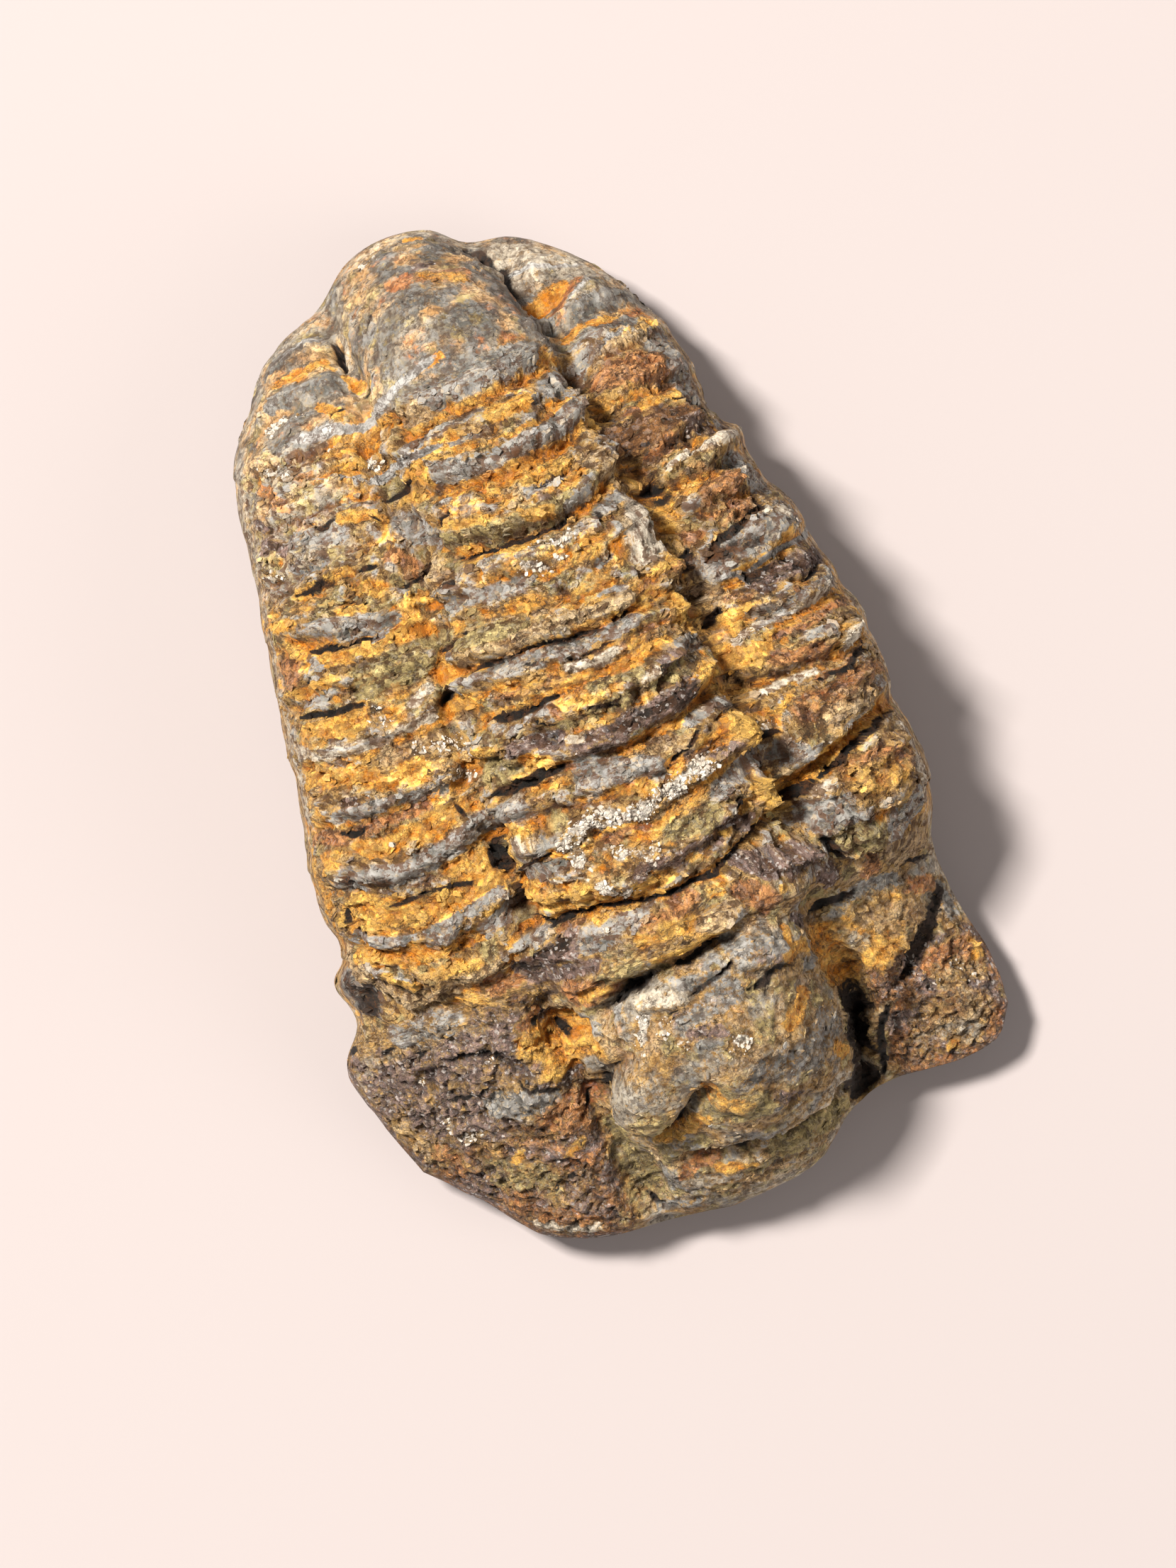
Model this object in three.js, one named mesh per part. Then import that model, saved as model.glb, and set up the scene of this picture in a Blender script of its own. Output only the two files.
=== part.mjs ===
// A trilobite fossil: one solid stone, 61 mm long, lying belly down with its back up.
// The body is a dome on a flat broken belly. A raised axis runs down the middle between two furrows, rings
// cross it, ribs run out to both edges, and a tail shield closes one end and a head the other.
// Millimetres. +X is across the body, +Y runs from head to tail, +Z is up, and the stone rests on z = 0.
import * as THREE from "three";

// ---------------------------------------------------------------- driving dimensions
const CREST = 23; // top of the back above the resting face
const HEAD_END = -30.6; // front of the head
const TAIL_END = 30.6; // back of the tail shield
const LEFT_EDGE = -19.4; // widest point of the left cheek
const RIGHT_EDGE = 19.3; // widest point of the right ribs
const RIB_WIDTH = 1; // width of a rib's gentle side, facing the tail
const RIB_FRONT = 0.64; // width of its steep side, facing the head
const EDGE_RELIEF = 0.35; // share of the relief that is left at the stone's edge
const EDGE_FADE = 1.5; // it fades over this width
const BELLY_LUMP = 0.7; // height of the lumps on the broken belly
const BELLY_CURL = { width: 6, bend: 1.8 }; // the belly curls up to the edge over this width
const WORN_SPOT = { x: 0, y: 0, radius: 6 }; // the belly is worn flat here, so the stone rests on it
const COLUMNS = 48; // facets across the back, a multiple of BELLY_STEP
const ROWS = 88; // facets along the back, a multiple of BELLY_STEP
const BELLY_STEP = 4; // back facets to one belly facet
const EDGE_SHARE = 0.12; // share of the grid that is kept for each steep flank
const STONE = { color: 0x8a7350, roughness: 0.9, metalness: 0 };

// ---------------------------------------------------------------- plan of the stone
// The plan has four sides, each a smooth curve through the points that its shape needs.
const TAIL_SIDE = [
  [-11.75, 22.45], [-10.5, 23.9], [-8.5, 26.2], [-4.5, 28.1], [-2, 30], [0.5, TAIL_END], [3.4, 30.1],
  [5.2, 28.6], [7.6, 28], [10, 26.4], [12.2, 24], [13.1, 22.4],
];
const RIGHT_SIDE = [
  [13.1, 22.4], [14.6, 19], [15.1, 15.2], [14.9, 13.9], [16.1, 12], [16.4, 9.6], [17.6, 6.5], [18.1, 3],
  [18.9, 0], [19.1, -3], [18.9, -5.6], [RIGHT_EDGE, -9], [18.9, -12.4], [17.9, -15], [18.2, -19],
  [18.8, -22], [18.7, -25.3],
];
const HEAD_SIDE = [
  [-17.5, -22], [-15, -24.6], [-12.5, -27.7], [-9, -29.5], [-5, -30], [0.5, HEAD_END], [5, -29.8],
  [7.4, -28], [9.4, -27.2], [12.4, -27.2], [15, -27.5], [17.4, -27], [18.7, -25.3],
];
const LEFT_SIDE = [
  [-11.75, 22.45], [-12.7, 20.8], [-13.5, 17], [-14.2, 12.6], [-15.5, 6], [-16.1, 1.5], [-17.3, -4],
  [-17.2, -8.2], [-18.2, -9.6], [-17.9, -12.2], [LEFT_EDGE, -14.4], [-18.7, -18.4], [-17.5, -22],
];

// ---------------------------------------------------------------- long profiles
// Each is a list of [y, value] from head to tail.
const AXIS_X = [[-30, 1], [-22, 1.9], [-15, 2], [0, 2.5], [10, 3], [18, 2.4], [30, 1.5]];
const AXIS_HALF_WIDTH = [
  [-30, 6], [-26, 6.4], [-22, 7.4], [-11, 8.4], [0, 8.1], [10, 7.1], [18, 6.5], [30, 5],
];
const AXIS_RISE = [
  [-30, 1.5], [-26, 4.5], [-21, 6], [-15, 4.6], [-8, 3.4], [8, 3.2], [18, 3.4], [26, 4.2], [30, 2.5],
];
const BACK_HEIGHT = [
  [-30, 7], [-24, 11.5], [-18, 13.8], [-10, 17.2], [0, CREST - 3.9], [8, CREST - 4.3], [16, 16.2],
  [22, 13], [27, 8.6], [30, 5.5],
];
const FLANK_WIDTH = [[-30, 5], [-24, 10], [-16, 9], [-10, 5.5], [10, 5], [18, 6.5], [26, 8], [30, 6]];
// A bend of 1 is a ramp up from the edge, and 2 is a quarter round.
const FLANK_BEND = [[-30, 1.9], [-24, 1.45], [-16, 1.5], [-10, 2.3], [12, 2.4], [22, 2], [30, 1.8]];
const EDGE_HEIGHT = [[-30, 4], [-20, 3.6], [-10, 5.6], [10, 6], [22, 5], [30, 3.6]];

// ---------------------------------------------------------------- ribs, furrows and lobes
// A rib is a crest line from left to right and its height. Its tail side slopes gently, its head side steeply.
// A third value is the width of the gentle side, for a broad flat slab.
const AXIS_RINGS = [
  [[[-1.5, 20], [2, 20.2], [6, 20.6]], 0.6],
  [[[-3, 18], [1, 17.9], [5, 18.1]], 0.5],
  [[[-1.6, 16], [2, 15.5], [5, 15.5], [7.6, 16.6]], 0.9],
  [[[-2.2, 12.5], [1, 11.8], [4.5, 11.8], [7.8, 12.7]], 1.1, 1.8],
  [[[-3.6, 9.4], [0.5, 9.6], [3, 9.3], [5.6, 9.7]], 0.8],
  [[[-4.5, 8.3], [-1, 7.9], [3, 7.5], [6, 8.4]], 0.5],
  [[[-4.6, 5.6], [-1, 5.2], [3, 4.85], [6.5, 5.2], [9.2, 5.8]], 0.75],
  [[[-4.6, 3.9], [0, 3.5], [3.5, 3], [6.4, 3.8], [8.8, 3.6]], 0.7],
  [[[-4.5, 0.5], [-1, 0.5], [2, 0.2], [6.2, 0.7]], 0.6],
  [[[-3.2, -0.9], [0, -1.8], [3, -2.1], [6, -1.5], [8.6, -0.6]], 1],
  [[[-6, -3.9], [-2, -3.9], [1, -4.3], [4.5, -4.2], [7.6, -3.4]], 0.8],
  [[[-2.6, -6.7], [0, -6.1], [3, -6.7], [6.5, -5.6], [8.8, -5]], 0.8],
  [[[-5.3, -8.9], [-3, -9.6], [0, -10.2], [3.5, -9.6], [7, -8.4]], 1],
  [[[-7, -12.3], [-3, -12.9], [1, -13.3]], 0.4],
  [[[-2.4, -15], [1, -15], [4.3, -14.7]], 0.6, 3], // neck ring
];
const LEFT_RIBS = [
  [[[-8.6, 25.6], [-6.5, 26], [-4.8, 25.9]], 0.5],
  [[[-10.4, 23], [-8, 23.4], [-5.5, 23.2]], 0.5],
  [[[-12, 20.4], [-8.5, 20.9], [-6, 20.8]], 0.6],
  [[[-13, 17.2], [-9.5, 17.3], [-6, 17.2]], 0.45],
  [[[-13.5, 14.3], [-9.5, 14.4], [-6.3, 14.5]], 0.5],
  [[[-13.9, 10.6], [-10, 10], [-8, 9.6], [-6.2, 9.8]], 0.7],
  [[[-14.6, 7.3], [-11, 6.9], [-8, 6.6], [-5.6, 6.6]], 0.5],
  [[[-15.4, 3.6], [-11.5, 3], [-8.5, 3.1], [-6.4, 3.6]], 0.7],
  [[[-15.8, 0.3], [-12.5, -0.5], [-9.5, -0.6], [-7, -0.4]], 0.65],
  [[[-16.6, -3.2], [-14.6, -4], [-12.5, -4.9], [-9.5, -4.7], [-6.4, -3.8]], 0.9, 1.6],
  [[[-17, -6.3], [-13.6, -8.2], [-11, -9.1], [-8.5, -8.9], [-6.6, -8]], 0.85, 1.6],
  [[[-16.2, -9], [-12.8, -11.3], [-10, -11.9], [-8, -11.6]], 0.8],
];
const RIGHT_RIBS = [
  [[[7.8, 25.7], [10, 25.4], [11.6, 25]], 0.5],
  [[[9.3, 22.3], [11, 22.5], [13, 21.9]], 0.8],
  [[[9, 20.1], [11.5, 19.7], [14.2, 19.6]], 0.6],
  [[[9.6, 16.8], [11.8, 16.9], [14.8, 16.8]], 0.8],
  [[[9.8, 13.2], [12, 13.1], [14.6, 13.3]], 0.9],
  [[[11, 11], [13, 10.9], [14.8, 11.6], [16.2, 12]], 1],
  [[[11.5, 9.2], [13.5, 9], [16, 9.4]], 0.7],
  [[[11.2, 4.6], [13.5, 4.8], [15.5, 5.4], [17.6, 6]], 1.1, 2],
  [[[12, 2.3], [14.5, 1.9], [16.5, 1.7], [18.3, 2.4]], 1],
  [[[11.5, -1.2], [14, -1.6], [16.5, -1.5], [18.8, -0.7]], 1],
  [[[10.9, -7.6], [13, -7.2], [15.5, -6.3], [18.6, -5]], 0.9, 2.8],
  [[[12.6, -13], [14.6, -13.2], [17.6, -11.8]], 1, 4],
];
// A furrow is a line, its depth and its half width.
const FURROWS = [
  [[[-4.4, 28.2], [-4.3, 25.5], [-4, 22.5], [-4.6, 19]], 0.8, 0.8], // left side of the tail's axis
  [[[5.4, 28.4], [6.8, 26.6], [7.5, 24], [8.4, 21.5], [8.9, 18.5]], 1.1, 0.9], // right side of it
  [
    [
      [-4.6, 19], [-4.6, 15.5], [-3.4, 12.6], [-4.8, 9], [-5.4, 5], [-6, 1.5], [-6.3, -2], [-6.1, -5.5],
      [-6.1, -9.5],
    ],
    0.9, 0.7,
  ], // left side of the ringed axis
  [
    [[8.9, 18.5], [9.3, 14.5], [10, 10.5], [10.4, 5], [10.6, 1], [10.9, -3], [10.6, -6], [10.9, -9.8]],
    1.7, 1.1,
  ], // its right side
  [[[-2.5, 18.5], [2, 18.7], [7, 19.6]], 0.6, 0.5],
  [[[-2, 14.9], [2, 14.6], [6.6, 14.9]], 0.8, 0.6],
  [[[-2.3, 10.9], [2, 10.7], [6, 10.8]], 0.9, 0.5],
  [[[-4.8, 4.7], [0, 4.4], [4.5, 4.2], [6.4, 4.5]], 0.4, 0.35],
  [[[-4.7, 1.6], [-1, 1.4], [3, 1.3], [6.5, 1.8]], 0.7, 0.5],
  [[[-4.6, -2.8], [-1, -3], [2, -3.1], [5, -3], [9, -1.8]], 0.7, 0.5],
  [
    [
      [-6.3, -10.7], [-3, -11.2], [0, -11.6], [3, -11.9], [5.5, -11.6], [9.5, -9.8], [12, -8.6], [15, -7.3],
      [18.4, -5.8],
    ],
    1, 0.5,
  ], // in front of the last ring
  [[[-4.2, -17], [-2.5, -16.1], [0, -15.9], [2, -15.9], [4.3, -15.5]], 1.4, 0.6], // neck furrow
  [[[-5.3, -23.4], [-4.6, -24.1], [-3, -24.6], [-1.6, -23.9], [0.2, -22.8]], 0.9, 0.45], // under its left lobe
  [[[-5.8, -21.6], [-5.2, -20.4], [-3.4, -20]], 0.7, 0.5],
  [[[-2.7, -26.9], [0, -27.3], [3, -27.4], [5.2, -27.1], [7.4, -26.1]], 0.8, 0.5], // behind the front border
  [[[-7.2, -15.5], [-6.8, -19], [-6.3, -23], [-5.7, -26.5], [-5.2, -30]], 1.6, 1.1], // left of the glabella
  [[[-16.6, -10.8], [-14.7, -12.8], [-11.4, -13.6]], 0.6, 0.5], // front edge of the ribs
  [[[9.9, -15.6], [10, -20]], 0.9, 1], // right of the glabella
];
// A lobe is [x, y, half length in X, half length in Y, height]; a negative height is a pit.
const LOBES = [
  [1.7, 24.6, 4.6, 4.4, 1], // tail axis
  [-3.3, -22.3, 2.1, 2.1, 1.9], // left lobe of the glabella
  [4, -23.2, 4.6, 4.2, 1.8], // glabella
  [5.6, -16.8, 2.4, 1.3, 0.9],
  [8, 9, 1.5, 1.5, 0.9],
  [9.1, -4.3, 1, 1.3, 1],
  [9.3, -8.2, 0.9, 1.2, 0.7],
  [8.6, -13.4, 2, 1.7, 1],
  [-4.2, -5.9, 1.1, 1.1, 0.7],
  [-9.6, -19.8, 2, 1.4, 0.7],
  [8.6, 23.6, 1, 0.9, -1.2],
  [-6.6, -17.3, 1.1, 1, -1.2],
];
// A cleft is cut straight down into the stone: a line, its depth and its half width.
const CLEFTS = [
  [[[10.5, -19.6], [10.3, -21]], 2, 0.7], // between the glabella and the right cheek
  [[[9.9, -22.3], [9.3, -24], [8.8, -26.9]], 6, 0.9], // the same, down to the front border
  [[[17.8, -16.7], [16.9, -17.7], [16.3, -18.8], [15, -20.1], [13.2, -21.5]], 3, 0.5], // crack in the cheek
];
// The right cheek's outer piece has dropped along this line, from its outer end inwards.
const DROPPED_PIECE = {
  line: [[18.6, -16.1], [16.4, -18.6], [13.2, -21.6], [10.8, -24.4], [10.2, -28]],
  drop: 2.2,
  wall: 0.8, // width of the broken wall
  inFrontOf: -15, // its hindmost y
  beyond: 0.8, // its inner end, as a share of the axis's half width
};
// The right ribs lie lower than the left ones, from this share of the axis's half width outwards.
const RIGHT_SAG = { drop: 1.6, from: 0.4 };

// ---------------------------------------------------------------- curves and fields
const smooth = (t) => t * t * (3 - 2 * t);
const clamp01 = (t) => Math.min(1, Math.max(0, t));
const bell = (t) => Math.exp(-t * t);

// The value at y of a smooth line through [y, value] knots.
function alongBody(knots, y) {
  const last = knots.length - 1;
  if (y <= knots[0][0]) return knots[0][1];
  if (y >= knots[last][0]) return knots[last][1];
  const i = knots.findIndex((k, n) => n < last && y < knots[n + 1][0]);
  const slope = (n) => {
    const a = knots[Math.max(0, n - 1)];
    const b = knots[Math.min(last, n + 1)];
    return (b[1] - a[1]) / (b[0] - a[0]);
  };
  const span = knots[i + 1][0] - knots[i][0];
  const t = (y - knots[i][0]) / span;
  const rise = knots[i + 1][1] - knots[i][1];
  const ease = t * (1 - t);
  return knots[i][1] + rise * smooth(t) + ease * span * ((1 - t) * slope(i) - t * slope(i + 1));
}

// How far (x, y) lies from a line, and on which side: above zero is towards the tail of a left-to-right line.
function fromLine(line, x, y) {
  let near = Infinity;
  let side = 1;
  for (let i = 0; i + 1 < line.length; i++) {
    const [ax, ay] = line[i];
    const dx = line[i + 1][0] - ax;
    const dy = line[i + 1][1] - ay;
    const t = clamp01(((x - ax) * dx + (y - ay) * dy) / (dx * dx + dy * dy));
    const away = Math.hypot(x - ax - t * dx, y - ay - t * dy);
    if (away < near) {
      near = away;
      side = Math.sign(dx * (y - ay) - dy * (x - ax)) || 1;
    }
  }
  return { near, side };
}

const sideCurve = (points) =>
  new THREE.CatmullRomCurve3(points.map(([x, y]) => new THREE.Vector3(x, y, 0)), false, "centripetal");
const tailCurve = sideCurve(TAIL_SIDE);
const rightCurve = sideCurve(RIGHT_SIDE);
const headCurve = sideCurve(HEAD_SIDE);
const leftCurve = sideCurve(LEFT_SIDE);
const OUTLINE_STEPS = 90;
const outline = [
  ...tailCurve.getSpacedPoints(OUTLINE_STEPS),
  ...rightCurve.getSpacedPoints(OUTLINE_STEPS),
  ...headCurve.getSpacedPoints(OUTLINE_STEPS).reverse(),
  ...leftCurve.getSpacedPoints(OUTLINE_STEPS).reverse(),
].map((p) => [p.x, p.y]);

// A grid share from 0 to 1, packed towards both ends so that the steep flanks get enough facets.
function packed(share) {
  const near = Math.min(share, 1 - share);
  const curve = 1 / (2 * EDGE_SHARE * (1 - EDGE_SHARE));
  const beyond = (near - EDGE_SHARE) / (1 - EDGE_SHARE);
  const moved = near < EDGE_SHARE ? curve * near * near : curve * EDGE_SHARE ** 2 + beyond;
  return share < 0.5 ? moved : 1 - moved;
}

// The plan point at share across (left to right) and along (tail to head), blended from the four sides.
function planPoint(across, along) {
  const u = packed(across);
  const v = packed(along);
  const tail = tailCurve.getPointAt(u);
  const head = headCurve.getPointAt(u);
  const left = leftCurve.getPointAt(v);
  const right = rightCurve.getPointAt(v);
  const corner = (a, b) => a.clone().multiplyScalar(b);
  return tail.multiplyScalar(1 - v).add(head.multiplyScalar(v))
    .add(left.multiplyScalar(1 - u)).add(right.multiplyScalar(u))
    .sub(corner(tailCurve.points[0], (1 - u) * (1 - v)))
    .sub(corner(tailCurve.points.at(-1), u * (1 - v)))
    .sub(corner(headCurve.points[0], (1 - u) * v))
    .sub(corner(headCurve.points.at(-1), u * v));
}

// A rounded shoulder: t is 0 at the edge of the plan and 1 at the shoulder's full width inside.
const shoulder = (t, bend) => Math.pow(1 - Math.pow(1 - clamp01(t), bend), 1 / bend);

// Height of the smooth back, before its ribs and furrows.
function backHeight(x, y, inside) {
  const edge = alongBody(EDGE_HEIGHT, y);
  const rise = shoulder(inside / alongBody(FLANK_WIDTH, y), alongBody(FLANK_BEND, y));
  const across = (x - alongBody(AXIS_X, y)) / alongBody(AXIS_HALF_WIDTH, y);
  const lobe = Math.pow(Math.max(0, 1 - across * across), 0.75);
  let height = alongBody(BACK_HEIGHT, y) + alongBody(AXIS_RISE, y) * lobe;
  height -= RIGHT_SAG.drop * smooth(clamp01(across - RIGHT_SAG.from));
  for (const [line, depth, halfWidth] of CLEFTS) height -= depth * bell(fromLine(line, x, y).near / halfWidth);
  const { line, drop, wall, inFrontOf, beyond } = DROPPED_PIECE;
  const cut = fromLine(line, x, y);
  if (cut.side > 0 && y < inFrontOf && across > beyond) height -= drop * smooth(clamp01(cut.near / wall));
  return edge + (height - edge) * rise;
}

// Height of the smooth belly, which curls up to the edge.
function bellyHeight(x, y) {
  return alongBody(EDGE_HEIGHT, y) * (1 - shoulder(distanceInside(x, y) / BELLY_CURL.width, BELLY_CURL.bend));
}

// How far the belly stands out from its smooth form.
function bellyLumps(x, y) {
  if (Math.hypot(x - WORN_SPOT.x, y - WORN_SPOT.y) < WORN_SPOT.radius) return BELLY_LUMP;
  const broad = Math.sin(0.55 * x + 0.31 * y + 1.1) * Math.sin(0.47 * y - 0.2 * x + 0.6);
  return BELLY_LUMP * (broad + 0.5 * Math.sin(1.3 * x) * Math.sin(1.1 * y + 2));
}

// How far the back's surface stands out from its smooth form.
function relief(x, y) {
  let out = 0;
  for (const [line, height, width = RIB_WIDTH] of [...AXIS_RINGS, ...LEFT_RIBS, ...RIGHT_RIBS]) {
    const { near, side } = fromLine(line, x, y);
    const gentle = Math.exp(-Math.pow(near / width, Math.max(2, width))); // a wide one has a flat top
    out += height * (side > 0 ? gentle : bell(near / RIB_FRONT));
  }
  for (const [line, depth, halfWidth] of FURROWS) out -= depth * bell(fromLine(line, x, y).near / halfWidth);
  for (const [cx, cy, rx, ry, height] of LOBES) {
    const away = Math.hypot((x - cx) / rx, (y - cy) / ry);
    out += height * Math.exp(-Math.pow(away, 3));
  }
  return out;
}

function distanceInside(x, y) {
  return fromLine(outline, x, y).near;
}

// ---------------------------------------------------------------- the solid
function fossilGeometry() {
  const position = [];
  const index = [];
  const vertex = (x, y, z) => position.push(x, y, z) / 3 - 1;
  const onEdge = (i, j) => i === 0 || j === 0 || i === COLUMNS || j === ROWS;

  const back = [];
  for (let j = 0; j <= ROWS; j++)
    for (let i = 0; i <= COLUMNS; i++) {
      const p = planPoint(i / COLUMNS, j / ROWS);
      const inside = onEdge(i, j) ? 0 : distanceInside(p.x, p.y);
      back.push(vertex(p.x, p.y, backHeight(p.x, p.y, inside)));
    }
  const backAt = (i, j) => back[j * (COLUMNS + 1) + i];
  for (let j = 0; j < ROWS; j++)
    for (let i = 0; i < COLUMNS; i++) {
      const [a, b, c, d] = [backAt(i, j), backAt(i + 1, j), backAt(i + 1, j + 1), backAt(i, j + 1)];
      if ((i + j) % 2) index.push(a, d, b, b, d, c);
      else index.push(a, d, c, a, c, b);
    }

  // The belly has fewer facets. An outer one is a fan, which takes in the edge's vertices between its corners.
  const bellyVertex = (i, j) => {
    const p = planPoint(i / COLUMNS, j / ROWS);
    return vertex(p.x, p.y, bellyHeight(p.x, p.y));
  };
  const inner = new Map();
  const bellyAt = (i, j) => {
    if (onEdge(i, j)) return backAt(i, j);
    const key = j * (COLUMNS + 1) + i;
    if (!inner.has(key)) inner.set(key, bellyVertex(i, j));
    return inner.get(key);
  };
  // The vertices from one corner of a facet up to the next: all of them along the stone's edge, elsewhere one.
  const facetSide = (i, j, stepI, stepJ) => {
    const alongEdge = stepI ? j === 0 || j === ROWS : i === 0 || i === COLUMNS;
    const count = alongEdge ? BELLY_STEP : 1;
    return Array.from({ length: count }, (_, n) => bellyAt(i + stepI * n, j + stepJ * n));
  };
  for (let j = 0; j < ROWS; j += BELLY_STEP)
    for (let i = 0; i < COLUMNS; i += BELLY_STEP) {
      const farI = i + BELLY_STEP;
      const farJ = j + BELLY_STEP;
      const ring = [
        ...facetSide(i, j, 1, 0),
        ...facetSide(farI, j, 0, 1),
        ...facetSide(farI, farJ, -1, 0),
        ...facetSide(i, farJ, 0, -1),
      ];
      if (ring.length === 4) {
        index.push(ring[0], ring[1], ring[2], ring[0], ring[2], ring[3]);
        continue;
      }
      const hub = bellyVertex((i + farI) / 2, (j + farJ) / 2);
      ring.forEach((r, n) => index.push(hub, r, ring[(n + 1) % ring.length]));
    }

  const geometry = new THREE.BufferGeometry();
  geometry.setAttribute("position", new THREE.Float32BufferAttribute(position, 3));
  geometry.setIndex(index);
  geometry.computeVertexNormals();

  // The relief moves each vertex along the smooth form's normal. Lumps that reach below z = 0 are worn flat.
  const points = geometry.getAttribute("position");
  const normals = geometry.getAttribute("normal");
  for (let n = 0; n < points.count; n++) {
    const p = new THREE.Vector3().fromBufferAttribute(points, n);
    const out = new THREE.Vector3().fromBufferAttribute(normals, n);
    const isBack = n < back.length;
    const fade = EDGE_RELIEF + (1 - EDGE_RELIEF) * smooth(clamp01(distanceInside(p.x, p.y) / EDGE_FADE));
    p.addScaledVector(out, isBack ? fade * relief(p.x, p.y) : bellyLumps(p.x, p.y));
    points.setXYZ(n, p.x, p.y, Math.max(0, p.z));
  }
  geometry.computeBoundingBox();
  const middle = geometry.boundingBox.getCenter(new THREE.Vector3());
  geometry.translate(-middle.x, -middle.y, -geometry.boundingBox.min.z);
  geometry.computeVertexNormals();
  return geometry;
}

const fossil = new THREE.Mesh(fossilGeometry(), new THREE.MeshStandardMaterial(STONE));
fossil.name = "trilobite_fossil";

const part = new THREE.Group();
part.add(fossil);
export default part;
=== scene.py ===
import math

import bpy
import numpy as np
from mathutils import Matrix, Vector


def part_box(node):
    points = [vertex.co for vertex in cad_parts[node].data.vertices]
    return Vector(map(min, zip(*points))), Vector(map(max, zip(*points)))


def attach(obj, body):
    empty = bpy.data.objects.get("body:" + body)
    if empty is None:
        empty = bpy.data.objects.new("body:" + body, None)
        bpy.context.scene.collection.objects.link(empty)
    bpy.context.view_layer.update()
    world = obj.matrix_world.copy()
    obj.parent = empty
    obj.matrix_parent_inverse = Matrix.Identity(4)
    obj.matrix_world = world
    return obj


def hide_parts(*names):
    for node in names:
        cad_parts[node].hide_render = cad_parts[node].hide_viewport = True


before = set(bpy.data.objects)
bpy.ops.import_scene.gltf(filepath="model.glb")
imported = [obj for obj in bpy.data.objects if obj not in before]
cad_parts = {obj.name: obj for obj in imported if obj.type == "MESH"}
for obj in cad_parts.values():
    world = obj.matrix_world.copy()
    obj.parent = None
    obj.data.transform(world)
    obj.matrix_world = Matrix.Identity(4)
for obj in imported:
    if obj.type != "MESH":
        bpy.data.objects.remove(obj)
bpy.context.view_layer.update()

# ==================================================================== The stone: its form
# A trilobite turned to limestone, 61 mm long, lying belly down. A raised axis runs along the back between
# two furrows, rings and ribs cross it, and it ends in a tail shield and in the head.
# Sizes are in millimetres until the mesh is made. +Y runs from head to tail and +Z is up.
MM = 0.001  # in metres
CREST = 23
HEAD_END = -30.6
TAIL_END = 30.6
LEFT_EDGE = -19.4
RIGHT_EDGE = 19.3
COLUMNS = 228  # facets across the back
ROWS = 384  # facets along the back
BELLY_STEP = 3  # back facets to one belly facet
EDGE_SHARE = 0.12  # share of the grid that is kept for each steep flank
CURVE_STEPS = 30  # steps of an outline curve between two of its points

TAIL_SIDE = [
    (-11.75, 22.45), (-10.5, 23.9), (-8.5, 26.2), (-4.5, 28.1), (-2, 30), (0.5, TAIL_END), (3.4, 30.1),
    (5.2, 28.6), (7.6, 28), (10, 26.4), (12.2, 24), (13.1, 22.4),
]
RIGHT_SIDE = [
    (13.1, 22.4), (14.6, 19), (15.1, 15.2), (14.9, 13.9), (16.1, 12), (16.4, 9.6), (17.6, 6.5), (18.1, 3),
    (18.9, 0), (19.1, -3), (18.9, -5.6), (RIGHT_EDGE, -9), (18.9, -12.4), (17.9, -15), (18.2, -19),
    (18.8, -22), (18.7, -25.3),
]
HEAD_SIDE = [
    (-17.5, -22), (-15, -24.6), (-12.5, -27.7), (-9, -29.5), (-5, -30), (0.5, HEAD_END), (5, -29.8),
    (7.4, -28), (9.4, -27.2), (12.4, -27.2), (15, -27.5), (17.4, -27), (18.7, -25.3),
]
LEFT_SIDE = [
    (-11.75, 22.45), (-12.7, 20.8), (-13.5, 17), (-14.2, 12.6), (-15.5, 6), (-16.1, 1.5), (-17.3, -4),
    (-17.2, -8.2), (-18.2, -9.6), (-17.9, -12.2), (LEFT_EDGE, -14.4), (-18.7, -18.4), (-17.5, -22),
]
# Long profiles: (y, value) from head to tail.
AXIS_X = [(-30, 1), (-22, 1.9), (-15, 2), (0, 2.5), (10, 3), (18, 2.4), (30, 1.5)]
AXIS_HALF_WIDTH = [(-30, 6), (-26, 6.4), (-22, 7.4), (-11, 8.4), (0, 8.1), (10, 7.1), (18, 6.5), (30, 5)]
AXIS_RISE = [
    (-30, 1.5), (-26, 4.5), (-21, 6), (-15, 4.6), (-8, 3.4), (8, 3.2), (18, 3.4), (26, 4.2), (30, 2.5),
]
BACK_HEIGHT = [
    (-30, 7), (-24, 11.5), (-18, 13.8), (-10, 17.2), (0, CREST - 4.2), (8, CREST - 4.6), (16, 16.2),
    (22, 13), (27, 8.6), (30, 5.5),
]
FLANK_WIDTH = [(-30, 5), (-24, 10), (-16, 9), (-10, 5.5), (10, 5), (18, 6.5), (26, 8), (30, 6)]
FLANK_BEND = [(-30, 1.9), (-24, 1.45), (-16, 1.5), (-10, 2.3), (12, 2.4), (22, 2), (30, 1.8)]
EDGE_HEIGHT = [(-30, 4), (-20, 3.6), (-10, 5.6), (10, 6), (22, 5), (30, 3.6)]
# A cleft is cut straight down: its depth, half width and line.
CLEFTS = [
    # the gap between the glabella and the right cheek
    (2, 0.7, [(10.5, -19.6), (10.3, -21)]), (6, 0.9, [(9.9, -22.3), (9.3, -24), (8.8, -26.9)]),
    # the open crack in the right cheek
    (3, 0.5, [(17.8, -16.7), (16.9, -17.7), (16.3, -18.8), (15, -20.1), (13.2, -21.5)]),
]
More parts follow.
